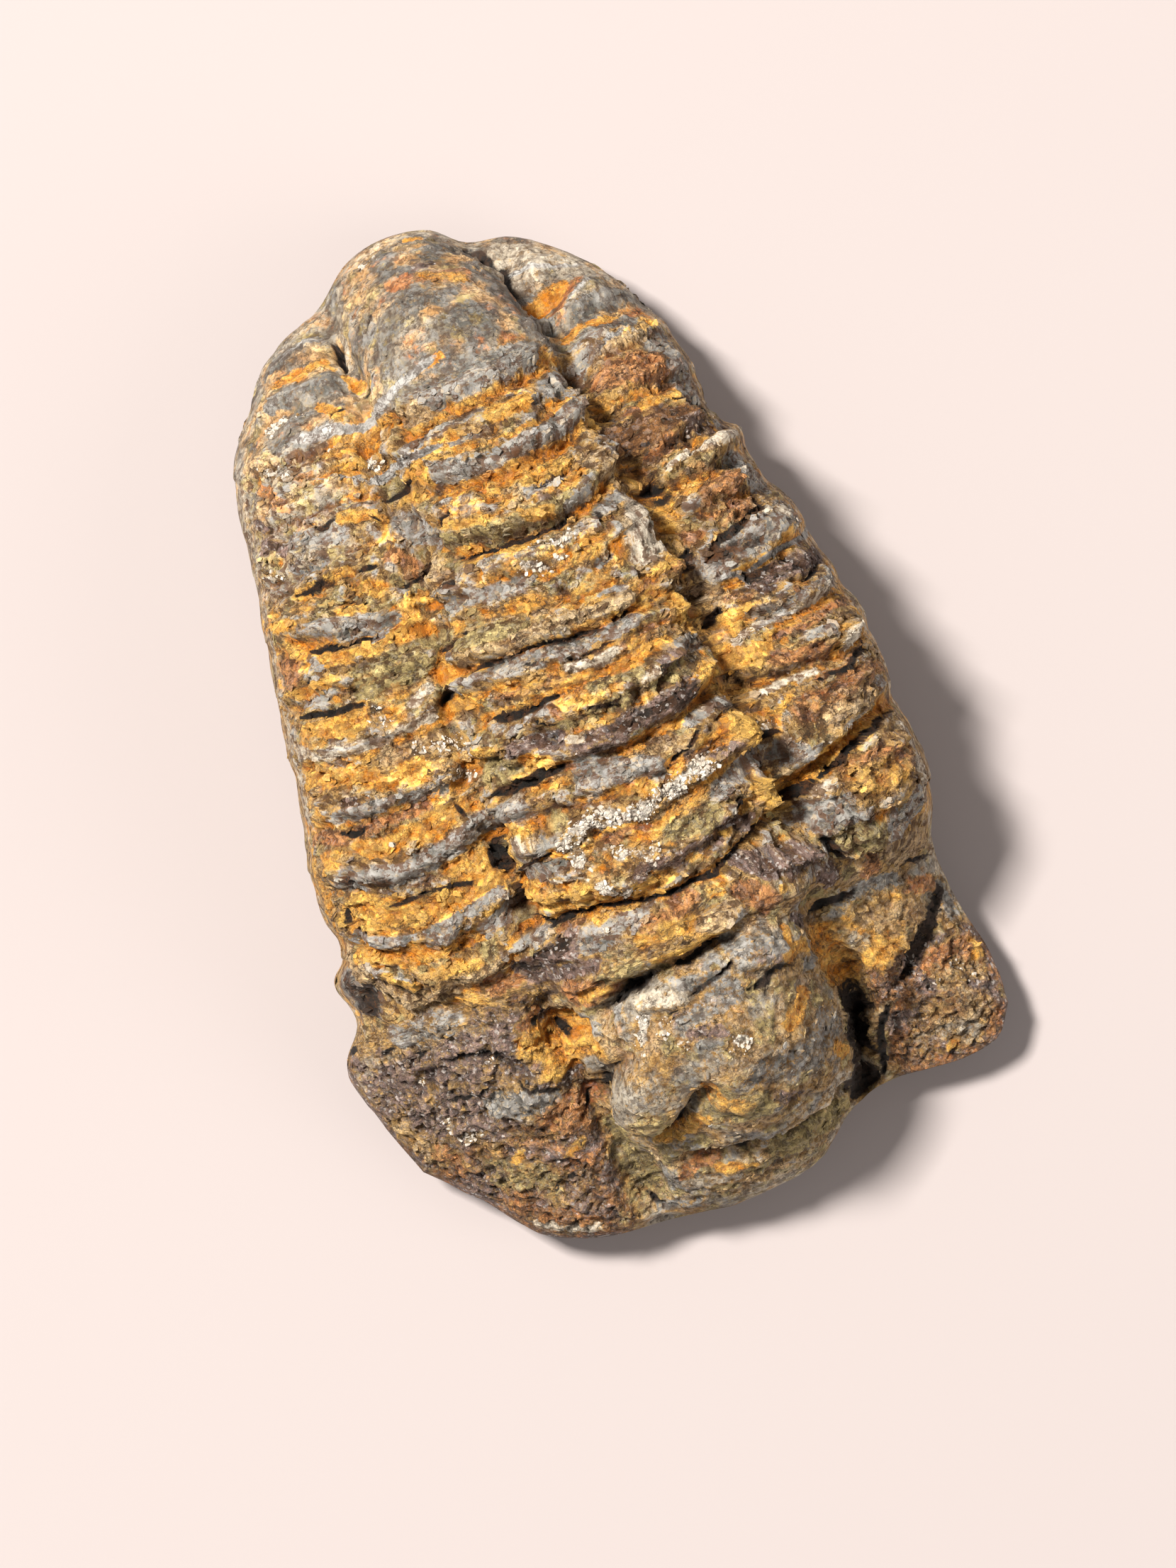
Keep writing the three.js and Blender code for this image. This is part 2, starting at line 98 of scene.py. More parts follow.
# The corner of the right cheek that has dropped, on the outer side of this line.
DROPPED_PIECE = [(18.6, -16.1), (16.4, -18.6), (13.2, -21.6), (10.8, -24.4), (10.2, -28)]
DROP = 2.2
RIGHT_SAG = 1.6  # how much lower the right flank is than the left
WORN_SPOT = 6  # radius of the flat place on the belly that the stone rests on
BELLY_LUMP = 0.7
BELLY_CURL = 6  # width over which the belly turns up to the edge
RIM_GAP = 0.02  # how far inside the outline a stray point is put back

# Ribs: height, width and crest line from left to right. A rib slopes gently over its width towards the
# tail, and is steep towards the head. A wide one is a flat slab.
RIBS = [
    (0.6, 1.4, [(-1.5, 20), (2, 20.2), (6, 20.6)]),
    (0.5, 1.4, [(-3, 18), (1, 17.9), (5, 18.1)]),
    (0.9, 1.4, [(-1.6, 16), (2, 15.5), (5, 15.5), (7.6, 16.6)]),
    (1.1, 1.8, [(-2.2, 12.5), (1, 11.8), (4.5, 11.8), (7.8, 12.7)]),
    (0.8, 1.4, [(-3.6, 9.4), (0.5, 9.6), (3, 9.3), (5.6, 9.7)]),
    (0.5, 1.4, [(-4.5, 8.3), (-1, 7.9), (3, 7.5), (6, 8.4)]),
    (0.75, 1.4, [(-4.6, 5.6), (-1, 5.2), (3, 4.85), (6.5, 5.2), (9.2, 5.8)]),
    (0.7, 1.2, [(-4.6, 3.9), (0, 3.5), (3.5, 3), (6.4, 3.8), (8.8, 3.6)]),
    (0.6, 1.4, [(-4.5, 0.5), (-1, 0.5), (2, 0.2), (6.2, 0.7)]),
    (1, 1.4, [(-3.2, -0.9), (0, -1.8), (3, -2.1), (6, -1.5), (8.6, -0.6)]),
    (0.8, 1.4, [(-6, -3.9), (-2, -3.9), (1, -4.3), (4.5, -4.2), (7.6, -3.4)]),
    (0.8, 1.4, [(-2.6, -6.7), (0, -6.1), (3, -6.7), (6.5, -5.6), (8.8, -5)]),
    (1, 1.4, [(-5.3, -8.9), (-3, -9.6), (0, -10.2), (3.5, -9.6), (7, -8.4)]),
    (0.4, 1, [(-7, -12.3), (-3, -12.9), (1, -13.3)]),
    (0.6, 3, [(-2.4, -15), (1, -15), (4.3, -14.7)]),
    (0.5, 1.4, [(-8.6, 25.6), (-6.5, 26), (-4.8, 25.9)]),
    (0.5, 1.4, [(-10.4, 23), (-8, 23.4), (-5.5, 23.2)]),
    (0.6, 1.4, [(-12, 20.4), (-8.5, 20.9), (-6, 20.8)]),
    (0.45, 1.4, [(-13, 17.2), (-9.5, 17.3), (-6, 17.2)]),
    (0.5, 1.4, [(-13.5, 14.3), (-9.5, 14.4), (-6.3, 14.5)]),
    (0.7, 1.4, [(-13.9, 10.6), (-10, 10), (-8, 9.6), (-6.2, 9.8)]),
    (0.5, 1.4, [(-14.6, 7.3), (-11, 6.9), (-8, 6.6), (-5.6, 6.6)]),
    (0.7, 1.4, [(-15.4, 3.6), (-11.5, 3), (-8.5, 3.1), (-6.4, 3.6)]),
    (0.65, 1.4, [(-15.8, 0.3), (-12.5, -0.5), (-9.5, -0.6), (-7, -0.4)]),
    (0.9, 1.6, [(-16.6, -3.2), (-14.6, -4), (-12.5, -4.9), (-9.5, -4.7), (-6.4, -3.8)]),
    (0.85, 1.6, [(-17, -6.3), (-13.6, -8.2), (-11, -9.1), (-8.5, -8.9), (-6.6, -8)]),
    (0.8, 1.4, [(-16.2, -9), (-12.8, -11.3), (-10, -11.9), (-8, -11.6)]),
    (0.5, 1.4, [(7.8, 25.7), (10, 25.4), (11.6, 25)]),
    (0.8, 1.4, [(9.3, 22.3), (11, 22.5), (13, 21.9)]),
    (0.6, 1.4, [(9, 20.1), (11.5, 19.7), (14.2, 19.6)]),
    (0.8, 1.4, [(9.6, 16.8), (11.8, 16.9), (14.8, 16.8)]),
    (0.9, 1.4, [(9.8, 13.2), (12, 13.1), (14.6, 13.3)]),
    (1, 1.4, [(11, 11), (13, 10.9), (14.8, 11.6), (16.2, 12)]),
    (0.7, 1.4, [(11.5, 9.2), (13.5, 9), (16, 9.4)]),
    (1.1, 2, [(11.2, 4.6), (13.5, 4.8), (15.5, 5.4), (17.6, 6)]),
    (1, 1.4, [(12, 2.3), (14.5, 1.9), (16.5, 1.7), (18.3, 2.4)]),
    (1, 1.4, [(11.5, -1.2), (14, -1.6), (16.5, -1.5), (18.8, -0.7)]),
    (0.9, 2.8, [(10.9, -7.6), (13, -7.2), (15.5, -6.3), (18.6, -5)]),
    (1, 4, [(12.6, -13), (14.6, -13.2), (17.6, -11.8)]),
]
# Furrows: depth, half width and line.
FURROWS = [
    (0.8, 0.8, [(-4.4, 28.2), (-4.3, 25.5), (-4, 22.5), (-4.6, 19)]),
    (1.1, 0.9, [(5.4, 28.4), (6.8, 26.6), (7.5, 24), (8.4, 21.5), (8.9, 18.5)]),
    (0.9, 0.7, [(-4.6, 19), (-4.6, 15.5), (-3.4, 12.6), (-4.8, 9), (-5.4, 5), (-6, 1.5), (-6.3, -2),
        (-6.1, -5.5), (-6.1, -9.5)]),
    (1.25, 1.1, [(8.9, 18.5), (9.3, 14.5), (10, 10.5), (10.4, 5), (10.6, 1), (10.9, -3), (10.6, -6),
        (10.9, -9.8)]),
    (0.6, 0.5, [(-2.5, 18.5), (2, 18.7), (7, 19.6)]), (0.8, 0.6, [(-2, 14.9), (2, 14.6), (6.6, 14.9)]),
    (0.9, 0.5, [(-2.3, 10.9), (2, 10.7), (6, 10.8)]),
    (0.4, 0.35, [(-4.8, 4.7), (0, 4.4), (4.5, 4.2), (6.4, 4.5)]),
    (0.7, 0.5, [(-4.7, 1.6), (-1, 1.4), (3, 1.3), (6.5, 1.8)]),
    (0.7, 0.5, [(-4.6, -2.8), (-1, -3), (2, -3.1), (5, -3), (9, -1.8)]),
    (1, 0.5, [(-6.3, -10.7), (-3, -11.2), (0, -11.6), (3, -11.9), (5.5, -11.6), (9.5, -9.8), (12, -8.6),
        (15, -7.3), (18.4, -5.8)]),
    (1.4, 0.6, [(-4.2, -17), (-2.5, -16.1), (0, -15.9), (2, -15.9), (4.3, -15.5)]),
    (0.9, 0.45, [(-5.3, -23.4), (-4.6, -24.1), (-3, -24.6), (-1.6, -23.9), (0.2, -22.8)]),
    (0.7, 0.5, [(-5.8, -21.6), (-5.2, -20.4), (-3.4, -20)]),
    (0.8, 0.5, [(-2.7, -26.9), (0, -27.3), (3, -27.4), (5.2, -27.1), (7.4, -26.1)]),
    (1.6, 1.1, [(-7.2, -15.5), (-6.8, -19), (-6.3, -23), (-5.7, -26.5), (-5.2, -30)]),
    (0.6, 0.5, [(-16.6, -10.8), (-14.7, -12.8), (-11.4, -13.6)]), (0.9, 1, [(9.9, -15.6), (10, -20)]),
]
# Lobes: height, half lengths in X and Y, and centre. Below zero is a pit.
LOBES = [
    (1, 4.6, 4.4, (1.7, 24.6)), (2.1, 2, 2, (-3.3, -22.2)), (1.8, 4.6, 4.2, (4, -23.2)),
    (0.9, 2.4, 1.3, (5.6, -16.8)), (0.9, 1.5, 1.5, (8, 9)), (1, 1, 1.3, (9.1, -4.3)),
    (0.7, 0.9, 1.2, (9.3, -8.2)), (1, 2, 1.7, (8.6, -13.4)), (0.7, 1.1, 1.1, (-4.2, -5.9)),
    (0.7, 2, 1.4, (-9.6, -19.8)), (-1.2, 1, 0.9, (8.6, 23.6)), (-1.2, 1.1, 1, (-6.6, -17.3)),
]


def eased(t):
    """A soft step from 0 to 1."""
    t = np.clip(t, 0, 1)
    return t * t * (3 - 2 * t)


def along_body(knots, y):
    """The value at each y of a smooth line through (y, value) knots."""
    ky, kv = np.array(knots, float).T
    slope = np.gradient(kv, ky)
    slope[1:-1] = (kv[2:] - kv[:-2]) / (ky[2:] - ky[:-2])
    i = np.clip(np.searchsorted(ky, y) - 1, 0, len(ky) - 2)
    span = ky[i + 1] - ky[i]
    t = np.clip((y - ky[i]) / span, 0, 1)
    ease = t * (1 - t) * span
    return kv[i] + (kv[i + 1] - kv[i]) * eased(t) + ease * ((1 - t) * slope[i] - t * slope[i + 1])


def from_line(line, x, y, reach=None):
    """Which points are within reach of a line, how far from it, and on which side (1: towards the tail)."""
    line = np.array(line, float).reshape(-1, 2)
    found = np.arange(len(x))
    if reach is not None:
        low, high = line.min(0) - reach, line.max(0) + reach
        found = np.flatnonzero((x > low[0]) & (x < high[0]) & (y > low[1]) & (y < high[1]))
    px, py = x[found], y[found]
    near = np.full(len(found), 1e9)
    side = np.ones(len(found))
    # A single point counts as a very short line.
    for a, b in zip(line[:-1], line[1:]) if len(line) > 1 else [(line[0], line[0] + 1e-6)]:
        d = b - a
        t = np.clip(((px - a[0]) * d[0] + (py - a[1]) * d[1]) / max(d @ d, 1e-12), 0, 1)
        away = np.hypot(px - a[0] - t * d[0], py - a[1] - t * d[1])
        closer = away < near
        near[closer] = away[closer]
        side[closer] = np.where(d[0] * (py - a[1]) - d[1] * (px - a[0]) < 0, -1, 1)[closer]
    return found, near, side


def side_curve(points):
    """A centripetal Catmull-Rom curve through the points, in fine steps, and the length up to each."""
    p = np.array(points, float)
    p = np.vstack([2 * p[0] - p[1], p, 2 * p[-1] - p[-2]])
    t = np.linspace(0, 1, CURVE_STEPS, endpoint=False)[:, None]
    blends = 2 * t**3 - 3 * t**2 + 1, t**3 - 2 * t**2 + t, 3 * t**2 - 2 * t**3, t**3 - t**2
    run = []
    for p0, p1, p2, p3 in zip(p, p[1:], p[2:], p[3:]):
        g0, g1, g2 = (math.sqrt(math.dist(a, b)) for a, b in ((p0, p1), (p1, p2), (p2, p3)))
        m1 = ((p1 - p0) / g0 - (p2 - p0) / (g0 + g1) + (p2 - p1) / g1) * g1
        m2 = ((p2 - p1) / g1 - (p3 - p1) / (g1 + g2) + (p3 - p2) / g2) * g1
        run.append(sum(blend * value for blend, value in zip(blends, (p1, m1, p2, m2))))
    run = np.vstack(run + [p[-2:-1]])
    length = np.concatenate([[0], np.cumsum(np.hypot(*np.diff(run, axis=0).T))])
    return run, length / length[-1]


def at_share(curve, share):
    """Points at shares of a curve's length."""
    run, length = curve
    return np.stack([np.interp(share, length, run[:, 0]), np.interp(share, length, run[:, 1])], -1)


def packed(share):
    """A grid share packed towards both ends, so that the steep flanks get enough facets."""
    near = np.minimum(share, 1 - share)
    curve = 1 / (2 * EDGE_SHARE * (1 - EDGE_SHARE))
    inner = curve * EDGE_SHARE**2 + (near - EDGE_SHARE) / (1 - EDGE_SHARE)
    start = np.where(near < EDGE_SHARE, curve * near * near, inner)
    return np.where(share < 0.5, start, 1 - start)


tail, right, head, left = (side_curve(s) for s in (TAIL_SIDE, RIGHT_SIDE, HEAD_SIDE, LEFT_SIDE))
OUTLINE_STEPS = 60  # to a side
shares = np.linspace(0, 1, OUTLINE_STEPS + 1)
sides = (tail, shares), (right, shares), (head, shares[::-1]), (left, shares[::-1])
outline = np.vstack([at_share(*side) for side in sides])


def plan_point(across, along):
    """Plan points at shares across (left to right) and along (tail to head), blended from the sides."""
    u, v = packed(across)[..., None], packed(along)[..., None]
    flat = (at_share(tail, u[..., 0]) * (1 - v) + at_share(head, u[..., 0]) * v
            + at_share(left, v[..., 0]) * (1 - u) + at_share(right, v[..., 0]) * u)
    return (flat - np.array(TAIL_SIDE[0]) * (1 - u) * (1 - v) - np.array(TAIL_SIDE[-1]) * u * (1 - v)
            - np.array(HEAD_SIDE[0]) * (1 - u) * v - np.array(HEAD_SIDE[-1]) * u * v)


def shoulder(t, bend):
    """A rounded rise from 0 at the edge to 1. A higher bend makes it squarer."""
    return (1 - (1 - np.clip(t, 0, 1)) ** bend) ** (1 / bend)


def back_height(x, y, inside):
    """Height of the smooth back, before its ribs and furrows."""
    edge = along_body(EDGE_HEIGHT, y)
    rise = shoulder(inside / along_body(FLANK_WIDTH, y), along_body(FLANK_BEND, y))
    across = (x - along_body(AXIS_X, y)) / along_body(AXIS_HALF_WIDTH, y)
    height = along_body(BACK_HEIGHT, y)
    height = height + along_body(AXIS_RISE, y) * np.maximum(0, 1 - across**2) ** 0.75
    height -= RIGHT_SAG * eased(across - 0.4)
    for depth, half_width, line in CLEFTS:
        height -= depth * np.exp(-(from_line(line, x, y)[1] / half_width) ** 2)
    _, near, side = from_line(DROPPED_PIECE, x, y)
    height -= np.where((side > 0) & (y < -15) & (across > 0.8), DROP * eased(near / 0.8), 0)
    return edge + (height - edge) * rise


j, i = np.mgrid[0 : ROWS + 1, 0 : COLUMNS + 1]
plan = plan_point(i / COLUMNS, j / ROWS).reshape(-1, 2)
on_edge = ((i == 0) | (j == 0) | (i == COLUMNS) | (j == ROWS)).ravel()
belly_grid = ((i % BELLY_STEP == 0) & (j % BELLY_STEP == 0)).ravel() & ~on_edge
number = np.arange(len(plan)).reshape(ROWS + 1, COLUMNS + 1)
ring = np.concatenate([number[0, :-1], number[:-1, -1], number[-1, :0:-1], number[:0:-1, 0]])
RING_STEPS = 4  # each way along the rim, to find its direction
run = np.roll(plan[ring], -RING_STEPS, 0) - np.roll(plan[ring], RING_STEPS, 0)
rim_out = np.column_stack([-run[:, 1], run[:, 0]]) / np.hypot(*run.T)[:, None]
# Points that the blend of the sides left past the outline go back inside it.
inside = from_line(outline, *plan.T)[1]
by_rim = np.flatnonzero((inside < 1) & ~on_edge)
BATCHES = 20  # so that not all the distances are held at once
nearest = np.concatenate([
    np.hypot(*(part.T[..., None] - plan[ring].T[:, None])).argmin(1)
    for part in np.array_split(plan[by_rim], BATCHES)
])
past = ((plan[by_rim] - plan[ring[nearest]]) * rim_out[nearest]).sum(1)
plan[by_rim] -= np.maximum(past + RIM_GAP, 0)[:, None] * rim_out[nearest]
inside = from_line(outline, *plan.T)[1]
inside[on_edge] = 0
back_top = back_height(*plan.T, inside)
belly_of = np.where(on_edge, np.arange(len(plan)), -1)  # the belly's vertex below each back vertex
belly_of[belly_grid] = len(plan) + np.arange(belly_grid.sum())
belly_z = along_body(EDGE_HEIGHT, plan[:, 1]) * (1 - shoulder(inside / BELLY_CURL, 1.8))
smooth = np.vstack([np.column_stack([plan, back_top]), np.column_stack([plan, belly_z])[belly_grid]])
is_back = np.arange(len(smooth)) < len(plan)
inside = np.concatenate([inside, inside[belly_grid]])

a, b, c, d = number[:-1, :-1], number[:-1, 1:], number[1:, 1:], number[1:, :-1]
faces = np.stack([a, d, c, b], -1).reshape(-1, 4).tolist()
for row in range(0, ROWS, BELLY_STEP):
    for col in range(0, COLUMNS, BELLY_STEP):
        # An outer belly face also takes in the edge's vertices that lie between its corners.
        next_row, next_col = row + BELLY_STEP, col + BELLY_STEP
        corners = []
        for start, step, by_edge in (
            ((row, col), (0, 1), row == 0),
            ((row, next_col), (1, 0), next_col == COLUMNS),
            ((next_row, next_col), (0, -1), next_row == ROWS),
            ((next_row, col), (-1, 0), col == 0),
        ):
            for n in range(BELLY_STEP if by_edge else 1):
                corners.append(int(belly_of[number[start[0] + n * step[0], start[1] + n * step[1]]]))
        faces.append(corners)

body_mesh = bpy.data.meshes.new("trilobite_stone")
body_mesh.from_pydata(smooth.tolist(), [], faces)
body_mesh.update()
outward = np.zeros(len(smooth) * 3)
body_mesh.vertices.foreach_get("normal", outward)
outward = outward.reshape(-1, 3)
# By the rim the stone faces level outwards.
outward[ring] = np.column_stack([rim_out, 0 * rim_out[:, 0]])
lean = eased(inside[by_rim] / 0.5)[:, None]
outward[by_rim] = lean * outward[by_rim] + (1 - lean) * outward[ring[nearest]]

# ==================================================================== The stone: its broken surface
# The shell was thin layers of calcite and clay, so it weathers into flakes, ledges and crumbs that run
# along the ribs. The head's cheeks are bare rock with a coarser, faceted break.


def scramble(x, y, z, seed):
    """A fixed random whole number for each lattice point."""
    h = (x * 374761393 + y * 668265263 + z * 1274126177 + seed * 362437) & 0xFFFFFFFF
    h = ((h ^ (h >> 13)) * 1274126177) & 0xFFFFFFFF
    h = ((h ^ (h >> 16)) * 2246822519) & 0xFFFFFFFF
    return h ^ (h >> 15)


def ripple(points, seed):
    """Smooth noise from about -1 to 1 for each point. A lump is about 1 unit across."""
    base = np.floor(points).astype(np.int64)
    f = points - base
    w = f**3 * (f * (f * 6 - 15) + 10)
    total = np.zeros(len(points))
    for corner in np.ndindex(2, 2, 2):
        h = scramble(*(base + corner).T, seed)
        pull = sum((((h >> (8 * n)) & 255) / 127.5 - 1) * (f[:, n] - corner[n]) for n in range(3))
        total += pull * np.prod([w[:, n] if corner[n] else 1 - w[:, n] for n in range(3)], 0)
    return total * 1.5


def rough(points, octaves, seed):
    """Noise from about -1 to 1 with lumps of several sizes, the largest about 1 unit across."""
    total = sum(ripple(points * 2**n + 17 * n, seed + n) / 2**n for n in range(octaves))
    return total / (2 - 2 / 2**octaves)


def billows(points, octaves, seed):
    """Rounded lumps with sharp creases between them, from 0 in a crease to about 1."""
    return sum(np.abs(ripple(points * 2**n + 17 * n, seed + n)) / 2**n for n in range(octaves))


def chips(points, seed):
    """Broken plates, about 1 unit across: each point's height from its own plate's lift and tilt."""
    base = np.floor(points).astype(np.int64)
    best = np.full(len(points), 9.0)
    lift = np.zeros(len(points))
    for offset in np.ndindex(3, 3, 3):
        cell = base + np.array(offset) - 1
        h = scramble(*cell.T, seed)
        rest = points - cell - np.stack([((h >> (8 * n)) & 255) / 255 for n in range(3)], -1)
        away = np.einsum("ij,ij->i", rest, rest)
        k = scramble(*cell.T, seed + 77)
        tilt = sum((((k >> (8 * n)) & 255) / 127.5 - 1) * rest[:, n] for n in range(3))
        own = ((k >> 24) & 255) / 127.5 - 1 + 0.9 * tilt
        closer = away < best
        lift = np.where(closer, own, lift)
        best = np.where(closer, away, best)
    return lift


def between(t, low, high, soft):
    """1 from low to high, and 0 beyond, with soft edges."""
    return eased((t - low) / soft + 0.5) * eased((high - t) / soft + 0.5)


x, y, z = smooth.T
# Lines that follow the ribs: each point's place along Y, measured from the crests round it.
RIB_REACH = 7
rib_y = np.zeros(len(smooth))
weight = np.full(len(smooth), 1e-9)
for height, _, line in RIBS:
    found, near, side = from_line(line, x, y, RIB_REACH)
    w = 1 / (near**3 + 0.05)
    rib_y[found] += w * (np.mean([p[1] for p in line]) + side * near)
    weight[found] += w
keep = eased(weight / 0.02)
rib_y = np.where(weight > 1e-8, rib_y / weight, y) * keep + y * (1 - keep)
grain = np.column_stack([0.22 * x, rib_y, 0.6 * z])  # noise read here is drawn out along the ribs

ribbed = between(y, -13.5, 21, 3)  # where rings and ribs cross the back
cheek = between(y, -40, -13.8, 2.5) * eased((-6.6 - x) / 1.5 + 0.5)
cheek = np.maximum(cheek, between(y, -40, -20, 3) * eased((x - 11) / 2 + 0.5))
dome = eased((y - 20.5) / 1.5 + 0.5)
glabella = between(y, -40, -15, 2) * (1 - cheek)

wander = np.column_stack([rough(smooth / 1.6, 3, 3), rough(smooth / 1.3, 3, 9)])
wx, wy = x + 0.35 * wander[:, 0], y + 0.3 * wander[:, 1]
swell = np.clip(1 + 0.9 * rough(smooth / 2.4 + 70, 2, 71), 0.4, 1.5)

form = np.zeros(len(smooth))
groove = np.zeros(len(smooth))
RIB_FRONT = 0.55  # half width of a rib's steep side
GROOVE_AT, GROOVE_WIDTH, GROOVE_DEPTH = 0.9, 0.45, 0.3  # the groove below the steep side
for height, width, line in RIBS:
    found, near, side = from_line(line, wx, wy, 2.5 * width)
    near = near * (1 + 0.3 * wander[found, 1])
    slope = np.where(side > 0, np.exp(-(near / width) ** width), np.exp(-(near / RIB_FRONT) ** 2))
    form[found] += 0.95 * height * slope * swell[found]
    below = np.where(side < 0, height * np.exp(-((near - GROOVE_AT) / GROOVE_WIDTH) ** 2), 0)
    groove[found] = np.maximum(groove[found], below)
form -= GROOVE_DEPTH * groove
for depth, half_width, line in FURROWS:
    found, near, _ = from_line(line, wx, wy, 4 * half_width)
    form[found] -= depth * np.exp(-(near / half_width) ** 2)
for height, rx, ry, (cx, cy) in LOBES:
    form += height * np.exp(-np.hypot((wx - cx) / rx, (wy - cy) / ry) ** 3)

